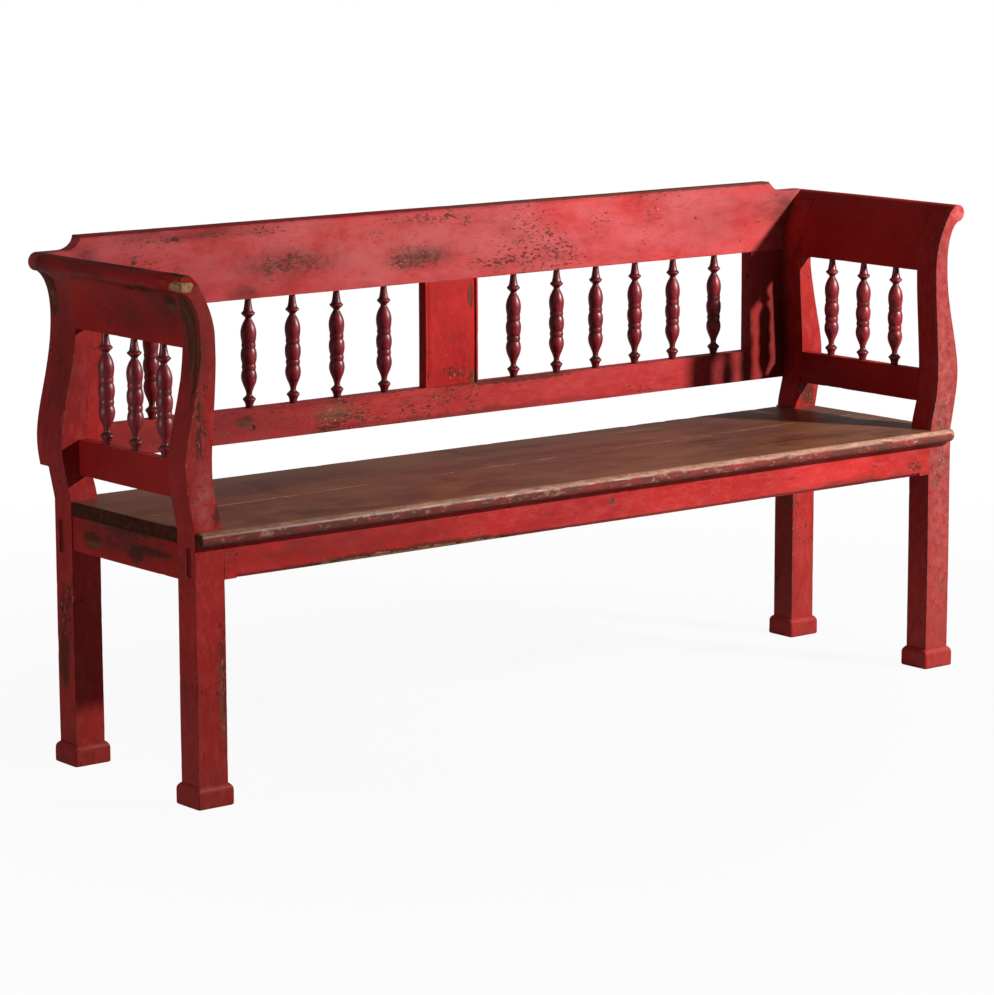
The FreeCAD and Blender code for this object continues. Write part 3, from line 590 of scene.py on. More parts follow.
def turned_paint(name):
    """Thicker, glossier red on the turnings, dark in the grooves and flaked at their rims."""
    material, tree, shader = new_finish(name)
    places = object_places(tree)
    mottle = clouds(places, *TURNED_MOTTLE)
    colour = blended(spread(mottle, 0.36, 0.64), TURNED_DEEP_RED, TURNED_RED)
    groove = tree.nodes.new("ShaderNodeAttribute")
    groove.attribute_name = "groove"
    hollow = groove.outputs["Fac"]
    dirt = times(hollow, spread(clouds(places, *GROOVE_DIRT), 0.28, 0.6, 0.45, 1.0))
    colour = blended(dirt, colour, GRIME)
    flakes = flecks(places, TURNED_FLAKE, 0.70, times(hollow, 0.06))
    colour = blended(times(flakes, 0.8), colour, BARE_BROWN)
    feed(shader.inputs["Base Color"], colour)
    feed(shader.inputs["Roughness"], spread(mottle, 0.3, 0.7, 0.32, 0.50))
    shader.inputs["Specular IOR Level"].default_value = TURNED_SHINE
    shader.inputs["Coat Weight"].default_value = TURNED_COAT
    shader.inputs["Coat Roughness"].default_value = 0.28
    height = minus(times(mottle, 0.8), times(flakes, 0.5))
    dented(shader, height, *TURNED_DENTS)
    return material


SEAT_BROWN = (0.170, 0.055, 0.030)
SEAT_DARK = (0.080, 0.024, 0.015)
SEAT_LIGHT = (0.27, 0.105, 0.055)
SEAT_HONEY = (0.25, 0.110, 0.042)
NOSING_PALE_AND_HIGHLIGHT = (0.66, 0.38, 0.27)
SEAT_SCRATCH = (0.42, 0.30, 0.24)
SEAT_STAIN = (0.03, 0.014, 0.011)
NOSING_BROWN = (0.10, 0.032, 0.020)
NOSING_RED = (0.25, 0.028, 0.022)
BARE_CHIP = (0.40, 0.24, 0.17)
END_DARK = (0.042, 0.012, 0.009)
END_LIGHT = (0.095, 0.030, 0.018)
DUSTY_JOINT = (0.62, 0.36, 0.27)

FIGURE = (42, 7, 0.62, 0.6)
BROWN_PATCHES = (9, 5, 0.6)
FINE_GRAIN = (260, 3, 0.6)
SCRATCH_LINES = (210, 2, 0.5)
SCRATCHED_PARTS = (5, 4)
HONEY_CLOUDS = (13, 7, 0.68, 0.4)
STAIN_CLOUDS = (7, 7, 0.62, 0.5)
NOSING_GRAIN = (190, 6, 0.75)
NOSING_PAINT = (50, 9, 0.82)
CHIPPED_PARTS = (16, 5)
SAWN_GRAIN = (90, 7, 0.72)
JOINT_BREAKS = (22, 6, 0.7)
NICK = 0.006
CHIP = 0.0075
SEAT_DENTS = (0.55, 0.0007)

# Where the front edge's parts fade: on top, back from its face; the face itself; down from the top;
# and towards the underside, which is darkened as painted shade. Then the sawn ends' depth and the
# half width of the planks' joint.
NOSING_TOP = (0.0150, 0.0065)
NOSING_FACE = (0.013, 0.010)
NOSING_DOWN = (0.0045, 0.0085)
UNDERSIDE_SHADE = (0.019, 0.0225)
SAWN_END = (0.0040, 0.0024)
JOINT_HALF_WIDTH = (0.0026, 0.0014)

# Depth of the front plank at its left and right ends
JOINT_LEFT = 0.198
JOINT_RIGHT = 0.262


def seat_wood(name):
    """Scrubbed brown planks: long grain, scratches, stains, a front edge worn pale with a painted
    highlight.
    """
    material, tree, shader = new_finish(name)
    places = object_places(tree)
    at = split_axes(places)
    along = stretched(places, (0.055, 1.0, 1.0))
    lengthways = stretched(places, (0.35, 1, 1))
    half_length = stretched(places, (0.5, 1, 1))
    figure = clouds(along, *FIGURE)
    colour = blended(spread(figure, 0.34, 0.68), SEAT_DARK, SEAT_BROWN)
    broad = clouds(lengthways, *BROWN_PATCHES)
    colour = blended(spread(broad, 0.42, 0.72, 0, 0.6), colour, SEAT_LIGHT)
    fine = clouds(along, *FINE_GRAIN)
    colour = blended(spread(fine, 0.56, 0.72, 0, 0.5), colour, SEAT_DARK)
    longest = stretched(places, (0.035, 1.15, 1.0), (3.1, 0.4, 0))
    scratch_lines = clouds(longest, *SCRATCH_LINES)
    scratches = times(spread(scratch_lines, 0.675, 0.70),
                      spread(clouds(places, *SCRATCHED_PARTS), 0.45, 0.6))
    colour = blended(times(scratches, 0.7), colour, SEAT_SCRATCH)
    honey = clouds(half_length, *HONEY_CLOUDS)
    honey = times(spread(honey, 0.44, 0.64), spread(at["Y"], 0.08, -0.15, 0.12, 0.75))
    colour = blended(honey, colour, SEAT_HONEY)
    stains = spread(clouds(places, *STAIN_CLOUDS), 0.60, 0.70)
    colour = blended(times(stains, 0.6), colour, SEAT_STAIN)

    nicks = flecks(stretched(places, (0.6, 1, 1)), NICK, 0.66,
                   spread(maths("ABSOLUTE", at["X"]), 0.45, 0.85, -0.04, 0.07))
    colour = blended(times(nicks, 0.75), colour, SEAT_STAIN)

    # The rounded front edge is worn pale on top, with a painted highlight there that is strongest
    # towards the right; its face is a patchwork of brown, red and bare chips
    low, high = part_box("seat_plank_front")
    depth = minus(at["Y"], low.y)
    drop = minus(high.z, at["Z"])
    rub_noise = clouds(lengthways, *SCUFFS)
    near = times(spread(depth, *NOSING_TOP), spread(at["X"], -0.70, 0.35, 0.58, 1.0))
    rub_and_highlight = times(near, spread(rub_noise, 0.32, 0.62, 0.10, 0.80))
    rub_grain = spread(clouds(lengthways, *NOSING_GRAIN), 0.36, 0.60, 0.35, 1.0)
    rub_and_highlight = times(rub_and_highlight, rub_grain)
    colour = blended(rub_and_highlight, colour, NOSING_PALE_AND_HIGHLIGHT)
    red_left = spread(clouds(lengthways, *NOSING_PAINT), 0.46, 0.56)
    face_colour = blended(red_left, NOSING_BROWN, NOSING_RED)
    bare_chips = flecks(half_length, CHIP, 0.575,
                        spread(clouds(places, *CHIPPED_PARTS), 0.35, 0.65, -0.07, 0.07))
    face_colour = blended(times(bare_chips, 0.6), face_colour, BARE_CHIP)
    uneven = plus(drop, spread(rub_noise, 0.3, 0.7, -0.003, 0.003))
    face = times(spread(depth, *NOSING_FACE), spread(uneven, *NOSING_DOWN))
    colour = blended(face, colour, face_colour)
    # Painted shade: the plank's lower edge and underside are darkened
    underside_shade = spread(drop, *UNDERSIDE_SHADE)
    colour = blended(times(underside_shade, 0.8), colour, SEAT_DARK)
    # The planks' sawn left ends are dark
    end = spread(at["X"], *(low.x + reach for reach in SAWN_END))
    end_grain = spread(clouds(places, *SAWN_GRAIN), 0.45, 0.70)
    end_grain = blended(end_grain, END_DARK, END_LIGHT)
    colour = blended(times(end, 0.92), colour, end_grain)
    # The joint of the two planks, pale with dust in places
    askew = times(at["X"], (JOINT_RIGHT - JOINT_LEFT) / (high.x - low.x))
    from_joint = minus(minus(depth, (JOINT_LEFT + JOINT_RIGHT) / 2), askew)
    line = spread(maths("ABSOLUTE", from_joint), *JOINT_HALF_WIDTH)
    line = minus(line, end)
    broken = spread(clouds(stretched(places, (0.3, 1, 1)), *JOINT_BREAKS), 0.46, 0.56)
    dusty = times(times(larger(line, 0.0), broken), 0.6)
    colour = blended(dusty, colour, DUSTY_JOINT)
    feed(shader.inputs["Base Color"], colour)
    rough = spread(figure, 0.3, 0.7, 0.29, 0.44)
    rub_rough = times(near, spread(rub_noise, 0.35, 0.62, 0.34, 0.72))
    rough = larger(rough, rub_rough)
    feed(shader.inputs["Roughness"], larger(rough, times(end, 0.95)))
    dull = larger(end, times(near, 0.6))
    feed(shader.inputs["Specular IOR Level"], spread(dull, 0, 1, 0.42, 0.05))

    height = plus(times(figure, 0.7), times(fine, -0.5))
    height = minus(height, times(scratches, 0.4))
    dented(shader, height, *SEAT_DENTS)
    return material


def plain_wood(name, dark, light, grain, scale):
    """Unpainted wood with its grain."""
    material, tree, shader = new_finish(name)
    along = stretched(object_places(tree), GRAIN_SCALE[grain])
    figure = clouds(along, scale, 6, 0.65, 0.4)
    feed(shader.inputs["Base Color"], blended(spread(figure, 0.34, 0.66), dark, light))
    feed(shader.inputs["Roughness"], spread(figure, 0.2, 0.8, 0.6, 0.8))
    dented(shader, figure, *WOOD_DENTS)
    return material


# Planes that most marks lie on, and how far a mark reaches through one
BACK_FACE = 0.2105
FRONT_FACE = -0.2175
RAIL_FACE = -0.8685
THROUGH = 0.02


def on_back(rows):
    """Marks on the back's front face, each by its X, Z and half sizes along them."""
    return tuple(((x, BACK_FACE, z), (half_x, THROUGH, half_z), strength, kind)
                 for x, z, half_x, half_z, strength, kind in rows)


# Marks, each with its strength and kind: knocked off in flecks, brown where paint and edge are gone,
# dark with old dirt, and at the bench's right end dark as painted shade; pinkish, a bloom from
# scuffing, and down the right front post a painted sheen; raw where wood is broken out. Those that
# are not on the back have a centre and three half sizes.
TOP_MARKS = on_back((
    (-0.360, 0.832, 0.130, 0.034, 0.85, "knocked"),
    (-0.360, 0.832, 0.140, 0.030, 0.80, "soot_and_shade"),
    (-0.090, 0.824, 0.120, 0.036, 1.0, "knocked"),
    (-0.075, 0.822, 0.110, 0.030, 1.0, "soot_and_shade"),
    (-0.040, 0.820, 0.022, 0.026, 0.72, "brown"),
    (0.030, 0.880, 0.020, 0.026, 0.95, "knocked"),
    (-0.180, 0.872, 0.050, 0.030, 0.85, "knocked"),
    (-0.100, 0.893, 0.260, 0.014, 0.75, "knocked"),
    (-0.560, 0.896, 0.240, 0.014, 0.75, "soot_and_shade"),
    (-0.560, 0.893, 0.240, 0.012, 0.70, "knocked"),
    (-0.80, 0.872, 0.040, 0.026, 0.85, "soot_and_shade"),
    (-0.80, 0.872, 0.030, 0.022, 0.70, "knocked"),
    (-0.47, 0.785, 0.045, 0.016, 0.85, "soot_and_shade"),
    (-0.47, 0.785, 0.035, 0.014, 0.80, "knocked"),
    (-0.20, 0.850, 0.460, 0.075, 0.60, "scuff_and_sheen"),
    (0.36, 0.850, 0.070, 0.045, 0.60, "knocked"),
    (0.10, 0.800, 0.120, 0.020, 0.60, "knocked"),
    (0.595, 0.852, 0.006, 0.005, 1.0, "brown"),
    # Painted shade: the right arm's shadow over the top rail's right end, and a lighter painted shade
    # over the part beside it
    (0.845, 0.850, 0.110, 0.110, 1.0, "soot_and_shade"),
    (0.700, 0.840, 0.240, 0.080, 0.35, "soot_and_shade"),
)) + (
    ((-0.872, BACK_FACE, 0.800), (0.060, 0.06, 0.130), 1.3, "brown"),
    ((-0.885, BACK_FACE, 0.820), (0.050, 0.06, 0.130), 1.0, "soot_and_shade"),
)
BOTTOM_MARKS = on_back((
    (-0.472, 0.556, 0.045, 0.022, 0.85, "brown"),
    (0.16, 0.579, 0.24, 0.013, 1.15, "brown"),
    (-0.35, 0.576, 0.25, 0.010, 0.80, "soot_and_shade"),
    (-0.62, 0.550, 0.40, 0.060, 0.70, "soot_and_shade"),
    (-0.30, 0.550, 0.30, 0.030, 0.55, "knocked"),
    (-0.02, 0.560, 0.05, 0.020, 0.65, "knocked"),
    (0.05, 0.524, 0.60, 0.008, 0.8, "soot_and_shade"),
    # Painted shade: the bottom rail's right end, in the right arm's shadow
    (0.730, 0.550, 0.120, 0.070, 0.85, "soot_and_shade"),
))
FRONT_RAIL_MARKS = (
    ((-0.43, FRONT_FACE, 0.379), (0.46, 0.03, 0.013), 0.85, "raw"),
    ((-0.43, FRONT_FACE, 0.380), (0.46, 0.03, 0.018), 1.1, "brown"),
    ((-0.60, FRONT_FACE, 0.410), (0.35, 0.02, 0.040), 0.6, "soot_and_shade"),
    ((-0.80, FRONT_FACE, 0.415), (0.030, 0.02, 0.030), 0.8, "knocked"),
    ((0.62, FRONT_FACE, 0.384), (0.26, 0.02, 0.016), 1.0, "soot_and_shade"),
    # Painted shade: a light darkening of the front rail's right end
    ((0.80, FRONT_FACE, 0.410), (0.160, 0.02, 0.060), 0.35, "soot_and_shade"),
    ((0.775, FRONT_FACE, 0.400), (0.028, 0.02, 0.030), 0.7, "knocked"),
)
CENTRE_MARKS = on_back((
    (0.040, 0.745, 0.014, 0.042, 1.0, "brown"),
    (0.045, 0.590, 0.022, 0.028, 1.0, "brown"),
    (0.0, 0.605, 0.050, 0.016, 0.8, "knocked"),
))
POST_MARKS = (
    # Painted shade: the back's right end in the right arm's shadow, and the inner face of the rear
    # right leg below the seat
    ((0.820, BACK_FACE, 0.660), (0.130, 0.02, 0.240), 1.0, "soot_and_shade"),
    ((0.813, 0.185, 0.250), (0.020, 0.06, 0.280), 0.7, "soot_and_shade"),
    ((-0.870, -0.190, 0.600), (0.040, 0.07, 0.160), 0.45, "soot_and_shade"),
    ((-0.870, 0.190, 0.185), (0.014, 0.034, 0.100), 1.0, "brown"),
    ((-0.870, 0.185, 0.250), (0.014, 0.040, 0.200), 0.8, "knocked"),
    ((-0.826, FRONT_FACE, 0.487), (0.014, 0.02, 0.038), 0.9, "brown"),
    ((-0.852, FRONT_FACE, 0.520), (0.028, 0.02, 0.070), 0.9, "scuff_and_sheen"),
    ((-0.858, FRONT_FACE, 0.640), (0.022, 0.02, 0.100), 0.75, "knocked"),
    ((-0.820, FRONT_FACE, 0.200), (0.012, 0.02, 0.160), 0.8, "knocked"),
    ((0.829, FRONT_FACE, 0.362), (0.020, 0.02, 0.018), 1.0, "brown"),
    ((0.845, FRONT_FACE, 0.392), (0.028, 0.02, 0.050), 0.9, "knocked"),
    ((0.848, FRONT_FACE, 0.490), (0.032, 0.02, 0.060), 0.9, "knocked"),
    ((0.835, FRONT_FACE, 0.476), (0.020, 0.02, 0.014), 0.85, "brown"),
    # A painted sheen down the lit front of the right front post and leg, then painted shade over the
    # same front
    ((0.850, FRONT_FACE, 0.450), (0.060, 0.015, 0.650), 0.60, "scuff_and_sheen"),
    ((0.850, FRONT_FACE, 0.500), (0.080, 0.015, 0.700), 0.75, "soot_and_shade"),
    ((0.850, 0.1585, 0.490), (0.034, 0.02, 0.055), 0.9, "brown"),
    ((0.850, 0.1585, 0.490), (0.040, 0.02, 0.060), 1.0, "knocked"),
    ((-0.880, FRONT_FACE, 0.864), (0.022, 0.016, 0.015), 1.0, "raw"),
    ((-0.880, -0.190, 0.815), (0.070, 0.040, 0.060), 1.3, "brown"),
    ((-0.865, -0.200, 0.755), (0.060, 0.028, 0.070), 1.2, "brown"),
    ((-0.845, -0.208, 0.690), (0.050, 0.014, 0.090), 1.0, "brown"),
    ((-0.860, -0.196, 0.780), (0.080, 0.060, 0.140), 1.0, "soot_and_shade"),
    ((-0.878, 0.190, 0.790), (0.050, 0.026, 0.110), 0.8, "brown"),
    ((-0.878, 0.190, 0.740), (0.050, 0.060, 0.200), 0.9, "soot_and_shade"),
)
ARM_MARKS = (
    ((-0.880, -0.070, 0.850), (0.050, 0.120, 0.012), 0.9, "brown"),
    ((-0.880, -0.150, 0.832), (0.060, 0.040, 0.028), 1.1, "brown"),
    ((-0.875, -0.120, 0.820), (0.080, 0.100, 0.060), 1.0, "soot_and_shade"),
    ((-0.865, 0.000, 0.800), (0.060, 0.160, 0.060), 0.55, "soot_and_shade"),
    ((-0.865, -0.010, 0.800), (0.050, 0.120, 0.040), 0.45, "knocked"),
    ((0.880, FRONT_FACE, 0.872), (0.030, 0.02, 0.030), 1.0, "scuff_and_sheen"),
    ((0.885, FRONT_FACE, 0.866), (0.012, 0.02, 0.014), 0.8, "knocked"),
    ((RAIL_FACE, -0.090, 0.413), (0.020, 0.095, 0.012), 1.2, "brown"),
    ((RAIL_FACE, -0.040, 0.402), (0.020, 0.042, 0.026), 1.2, "brown"),
    ((RAIL_FACE, 0.096, 0.406), (0.020, 0.048, 0.026), 1.2, "brown"),
    ((RAIL_FACE, 0.010, 0.438), (0.020, 0.190, 0.012), 1.0, "brown"),
    ((RAIL_FACE, 0.000, 0.420), (0.020, 0.180, 0.040), 1.0, "soot_and_shade"),
    ((RAIL_FACE, 0.000, 0.405), (0.020, 0.190, 0.040), 0.6, "knocked"),
)
LEFT_ROLL_MARKS = (
    ((-0.893, -0.203, 0.866), (0.030, 0.046, 0.020), 1.0, "raw"),
    ((-0.880, FRONT_FACE, 0.866), (0.024, 0.012, 0.015), 1.0, "raw"),
    ((-0.885, -0.200, 0.884), (0.030, 0.060, 0.008), 1.0, "brown"),
    ((-0.890, -0.110, 0.853), (0.030, 0.130, 0.010), 1.0, "brown"),
    ((-0.880, -0.020, 0.887), (0.016, 0.300, 0.008), 1.0, "brown"),
    ((-0.890, 0.205, 0.868), (0.060, 0.070, 0.050), 1.0, "soot_and_shade"),
    ((-0.890, 0.060, 0.868), (0.060, 0.260, 0.050), 0.8, "soot_and_shade"),
)

paint_top = red_paint("red_paint_top_rail", "x", haze_and_sheen=0.56, clusters=0.10, marks=TOP_MARKS,
                      crest=0.9062)
paint_x = red_paint("red_paint_long_boards", "x", haze_and_sheen=0.20, clusters=0.10, marks=BOTTOM_MARKS,
                    base=LONG_BOARD_RED)
paint_rail = red_paint("red_paint_seat_rails", "x", fade=0.40, haze_and_sheen=0.10, clusters=0.08,
                       marks=FRONT_RAIL_MARKS, slot_ends=0.8679)
paint_y, paint_roll = (
    red_paint(name, "y", DULL_RED, DULL_DEEP_RED, fade=0.07, wear=0.6, clusters=0.06, marks=marks)
    for name, marks in (("red_paint_arms", ARM_MARKS), ("red_paint_left_roll", LEFT_ROLL_MARKS)))
paint_stile = red_paint("red_paint_centre_stile", "z", fade=0.12, clusters=0.07, marks=CENTRE_MARKS)
paint_z = red_paint("red_paint_uprights", "z", DULL_RED, DULL_DEEP_RED, fade=0.32, haze_and_sheen=0.06,
                    clusters=0.09, marks=POST_MARKS, grounded=True)
turning_paint = turned_paint("red_gloss_turnings")
seat_planks = seat_wood("scrubbed_seat_wood")
peg_wood = plain_wood("dark_peg_wood", (0.05, 0.02, 0.015), (0.14, 0.06, 0.04), "y", 160)
bearer_wood = plain_wood("aged_bearer_wood", (0.13, 0.07, 0.04), (0.27, 0.16, 0.09), "y", 70)


# Turnings

# Profile from foot to head: share of the bare length, radius as a share of the fullest, groove
TURNING = (
    (0.000, 0.47, 0.8), (0.030, 0.50, 0.5), (0.055, 0.62, 0.2), (0.072, 0.79, 0), (0.079, 0.83, 0),
    (0.086, 0.80, 0.3), (0.093, 0.70, 0.8), (0.102, 0.56, 1), (0.112, 0.42, 0.8), (0.120, 0.37, 0.6),
    (0.135, 0.385, 0.3), (0.150, 0.42, 0.1), (0.170, 0.52, 0), (0.190, 0.63, 0), (0.210, 0.755, 0),
    (0.230, 0.86, 0), (0.260, 0.97, 0), (0.285, 1.00, 0), (0.310, 0.97, 0), (0.330, 0.905, 0.1),
    (0.341, 0.845, 0.5), (0.347, 0.825, 0.8), (0.353, 0.85, 0.3), (0.362, 0.885, 0), (0.374, 0.90, 0),
    (0.386, 0.89, 0), (0.396, 0.855, 0.3), (0.402, 0.83, 0.7), (0.408, 0.855, 0.3), (0.420, 0.91, 0),
    (0.445, 0.985, 0), (0.475, 1.015, 0), (0.505, 1.00, 0), (0.530, 0.925, 0.1), (0.541, 0.86, 0.4),
    (0.547, 0.835, 0.8), (0.553, 0.86, 0.3), (0.562, 0.885, 0), (0.575, 0.895, 0), (0.587, 0.875, 0.1),
    (0.596, 0.85, 0.5), (0.604, 0.87, 0.2), (0.630, 0.94, 0), (0.660, 0.99, 0), (0.690, 1.00, 0),
    (0.720, 0.945, 0), (0.750, 0.83, 0), (0.780, 0.65, 0.1), (0.800, 0.49, 0.5), (0.812, 0.40, 0.8),
    (0.819, 0.38, 1), (0.828, 0.46, 0.7), (0.838, 0.60, 0.3), (0.848, 0.75, 0), (0.857, 0.86, 0),
    (0.863, 0.875, 0), (0.870, 0.82, 0.3), (0.878, 0.68, 0.7), (0.887, 0.60, 0.5), (0.920, 0.51, 0.3),
    (0.960, 0.43, 0.5), (1.000, 0.38, 1),
)
FULL_RADIUS = 0.0143
TURNING_SIDES = 28

# Length of the plain stub that stands in a rail at each end, and how uneven the turning is
STUB = 0.0125
WOBBLE = 0.0005
WOBBLE_SCALE = 34


def turning_tree():
    """The lathe: sweeps a ring up an upright line whose points carry their own radius."""
    tree = bpy.data.node_groups.new("lathe", "GeometryNodeTree")
    for name, kind in (("Geometry", "Geometry"), ("Full Radius", "Float"), ("Sides", "Int"),
                       ("Wobble", "Float"), ("Finish", "Material")):
        tree.interface.new_socket(name, in_out="INPUT", socket_type="NodeSocket" + kind)
    tree.interface.new_socket("Geometry", in_out="OUTPUT", socket_type="NodeSocketGeometry")
    add, link = tree.nodes.new, tree.links.new
    start = add("NodeGroupInput")
    line = add("GeometryNodeMeshToCurve")
    link(start.outputs["Geometry"], line.inputs["Mesh"])
    share = add("GeometryNodeInputNamedAttribute")
    share.inputs["Name"].default_value = "share"
    radius = add("ShaderNodeMath")
    radius.operation = "MULTIPLY"
    link(share.outputs["Attribute"], radius.inputs[0])
    link(start.outputs["Full Radius"], radius.inputs[1])
    set_radius = add("GeometryNodeSetCurveRadius")
    link(line.outputs["Curve"], set_radius.inputs["Curve"])
    link(radius.outputs[0], set_radius.inputs["Radius"])
    ring = add("GeometryNodeCurvePrimitiveCircle")
    ring.inputs["Radius"].default_value = 1.0
    link(start.outputs["Sides"], ring.inputs["Resolution"])
    sweep = add("GeometryNodeCurveToMesh")
    link(set_radius.outputs["Curve"], sweep.inputs["Curve"])
    link(ring.outputs["Curve"], sweep.inputs["Profile Curve"])
    own_radius = add("GeometryNodeInputRadius")
    link(own_radius.outputs[0], sweep.inputs["Scale"])
    sweep.inputs["Fill Caps"].default_value = True
    wave = add("ShaderNodeTexNoise")
    wave.inputs["Scale"].default_value = WOBBLE_SCALE
    centred = add("ShaderNodeVectorMath")
    centred.operation = "SUBTRACT"
    centred.inputs[1].default_value = (0.5, 0.5, 0.5)
    link(wave.outputs["Color"], centred.inputs[0])
    scaled = add("ShaderNodeVectorMath")
    scaled.operation = "SCALE"
    link(centred.outputs[0], scaled.inputs[0])
    link(start.outputs["Wobble"], scaled.inputs["Scale"])
    uneven = add("GeometryNodeSetPosition")
    link(sweep.outputs["Mesh"], uneven.inputs["Geometry"])
    link(scaled.outputs[0], uneven.inputs["Offset"])
    smooth = add("GeometryNodeSetShadeSmooth")
    link(uneven.outputs[0], smooth.inputs["Geometry"])
    real = add("GeometryNodeRealizeInstances")
    link(smooth.outputs[0], real.inputs["Geometry"])
    painted = add("GeometryNodeSetMaterial")
    link(real.outputs[0], painted.inputs["Geometry"])
    link(start.outputs["Finish"], painted.inputs["Material"])
    end = add("NodeGroupOutput")
    link(painted.outputs[0], end.inputs["Geometry"])
    return tree


def set_input(tree, modifier, name, value):
    """Sets a modifier's input by the name that its tree gives it."""
    socket = next(item for item in tree.interface.items_tree
                  if item.name == name and item.in_out == "INPUT")
    modifier[socket.identifier] = value


def turned_spindle(tree, node):
    """One turned spindle in place of its flat-sided CAD solid."""
    low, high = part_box(node)
    across, back = (low.x + high.x) / 2, (low.y + high.y) / 2
    foot, head = low.z + STUB, high.z - STUB
    stations = [(-STUB, TURNING[0][1], 1.0)]
    stations += [((head - foot) * share, radius, groove) for share, radius, groove in TURNING]
    stations.append((head - foot + STUB, TURNING[-1][1], 1.0))
    data = bpy.data.meshes.new(node)
    data.from_pydata([(across, back, foot + rise) for rise, _, _ in stations],
                     [(index, index + 1) for index in range(len(stations) - 1)], [])
    for name, column in (("share", 1), ("groove", 2)):
        values = data.attributes.new(name, "FLOAT", "POINT").data
        values.foreach_set("value", [row[column] for row in stations])
    piece = new_object("turned_" + node, data)
    lathe = piece.modifiers.new("lathe", "NODES")
    lathe.node_group = tree
    for name, value in (("Full Radius", FULL_RADIUS), ("Sides", TURNING_SIDES), ("Wobble", WOBBLE),
                        ("Finish", turning_paint)):
        set_input(tree, lathe, name, value)
    stand_for(settled(piece), "turned_paint", node)


# Feet

# Round of the upright corners; how far the side comes in over the shoulder's height; round at the
# floor; steps round or along each, and how far the arrises are knocked
FOOT_CORNER = 0.0045
FOOT_PROUD = 0.008
FOOT_SHOULDER = 0.012
FOOT_ROUND = 0.0035
CORNER_STEPS = 4
SHOULDER_STEPS = 7
ROUND_STEPS = 3
SIDE_STEPS = 3
FOOT_KNOCKS = 0.8


def foot_rings(foot_height):
    """Height and inset of each ring up a foot's side."""
    rings = []
    for step in range(ROUND_STEPS + 1):
        angle = math.pi / 2 * step / ROUND_STEPS
        rings.append((FOOT_ROUND * (1 - math.cos(angle)), FOOT_ROUND * (1 - math.sin(angle))))
    straight = foot_height - FOOT_SHOULDER
    for step in range(1, SIDE_STEPS):
        rings.append((FOOT_ROUND + (straight - FOOT_ROUND) * step / SIDE_STEPS, 0.0))
    radius = (FOOT_PROUD ** 2 + FOOT_SHOULDER ** 2) / (2 * FOOT_PROUD)
    full = math.asin(FOOT_SHOULDER / radius)
    for step in range(SHOULDER_STEPS + 1):
        angle = full * step / SHOULDER_STEPS
        rings.append((straight + radius * math.sin(angle), radius * (1 - math.cos(angle))))
    return rings


def ring_corners(half_x, half_y):
    """Points of a rectangle with rounded corners, once round."""
    points = []
    for quarter, (sx, sy) in enumerate(((1, 1), (-1, 1), (-1, -1), (1, -1))):
        for step in range(CORNER_STEPS + 1):
            angle = math.pi / 2 * (quarter + step / CORNER_STEPS)
            points.append((sx * (half_x - FOOT_CORNER) + FOOT_CORNER * math.cos(angle),
                           sy * (half_y - FOOT_CORNER) + FOOT_CORNER * math.sin(angle)))
    return points


def join_rings(mesh, rings):
    """Faces between rings of points, and one across each end."""
    for lower, upper in zip(rings, rings[1:]):
        for index in range(len(lower)):
            mesh.faces.new((lower[index - 1], lower[index], upper[index], upper[index - 1]))
    mesh.faces.new(rings[0][::-1])
    mesh.faces.new(rings[-1])


def block_foot(node, finish):
    """A block foot, its corners and shoulders rubbed round, round the post that stands in it."""
    low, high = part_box(node)
    half_x, half_y = (high.x - low.x) / 2, (high.y - low.y) / 2
    centre = (low + high) / 2
    mesh = bmesh.new()
    join_rings(mesh, [[mesh.verts.new((centre.x + x, centre.y + y, low.z + rise))
                       for x, y in ring_corners(half_x - inset, half_y - inset)]
                      for rise, inset in foot_rings(high.z - low.z)])
    hand_worked(mesh, set(mesh.verts), FOOT_KNOCKS)
    for vert in mesh.verts:
        vert.co.z = max(vert.co.z, 0.0)
    bmesh.ops.recalc_face_normals(mesh, faces=mesh.faces)
    stand_for(make_piece("worn_" + node, mesh, finish, FOOT_ANGLE), "frame_paint", node)


# Pegs

PEG_SIDES = 16
PEG_TIP = 0.82
PEG_BEVEL = 0.0012


def whittled_peg(node, finish):
    """A round peg along Y, its tips cut a little narrower."""
    low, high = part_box(node)
    radius = (high.x - low.x) / 2
    tip = radius * PEG_TIP
    centre = (low + high) / 2
    mesh = bmesh.new()
    stations = ((low.y, tip), (low.y + PEG_BEVEL, radius), (high.y - PEG_BEVEL, radius), (high.y, tip))
    join_rings(mesh, [[mesh.verts.new((centre.x + reach * math.cos(turn * math.tau / PEG_SIDES), back,
                                       centre.z + reach * math.sin(turn * math.tau / PEG_SIDES)))
                       for turn in range(PEG_SIDES)] for back, reach in stations])
    bmesh.ops.recalc_face_normals(mesh, faces=mesh.faces)
    stand_for(make_piece("round_" + node, mesh, finish), "peg_wood", node)


# The bench

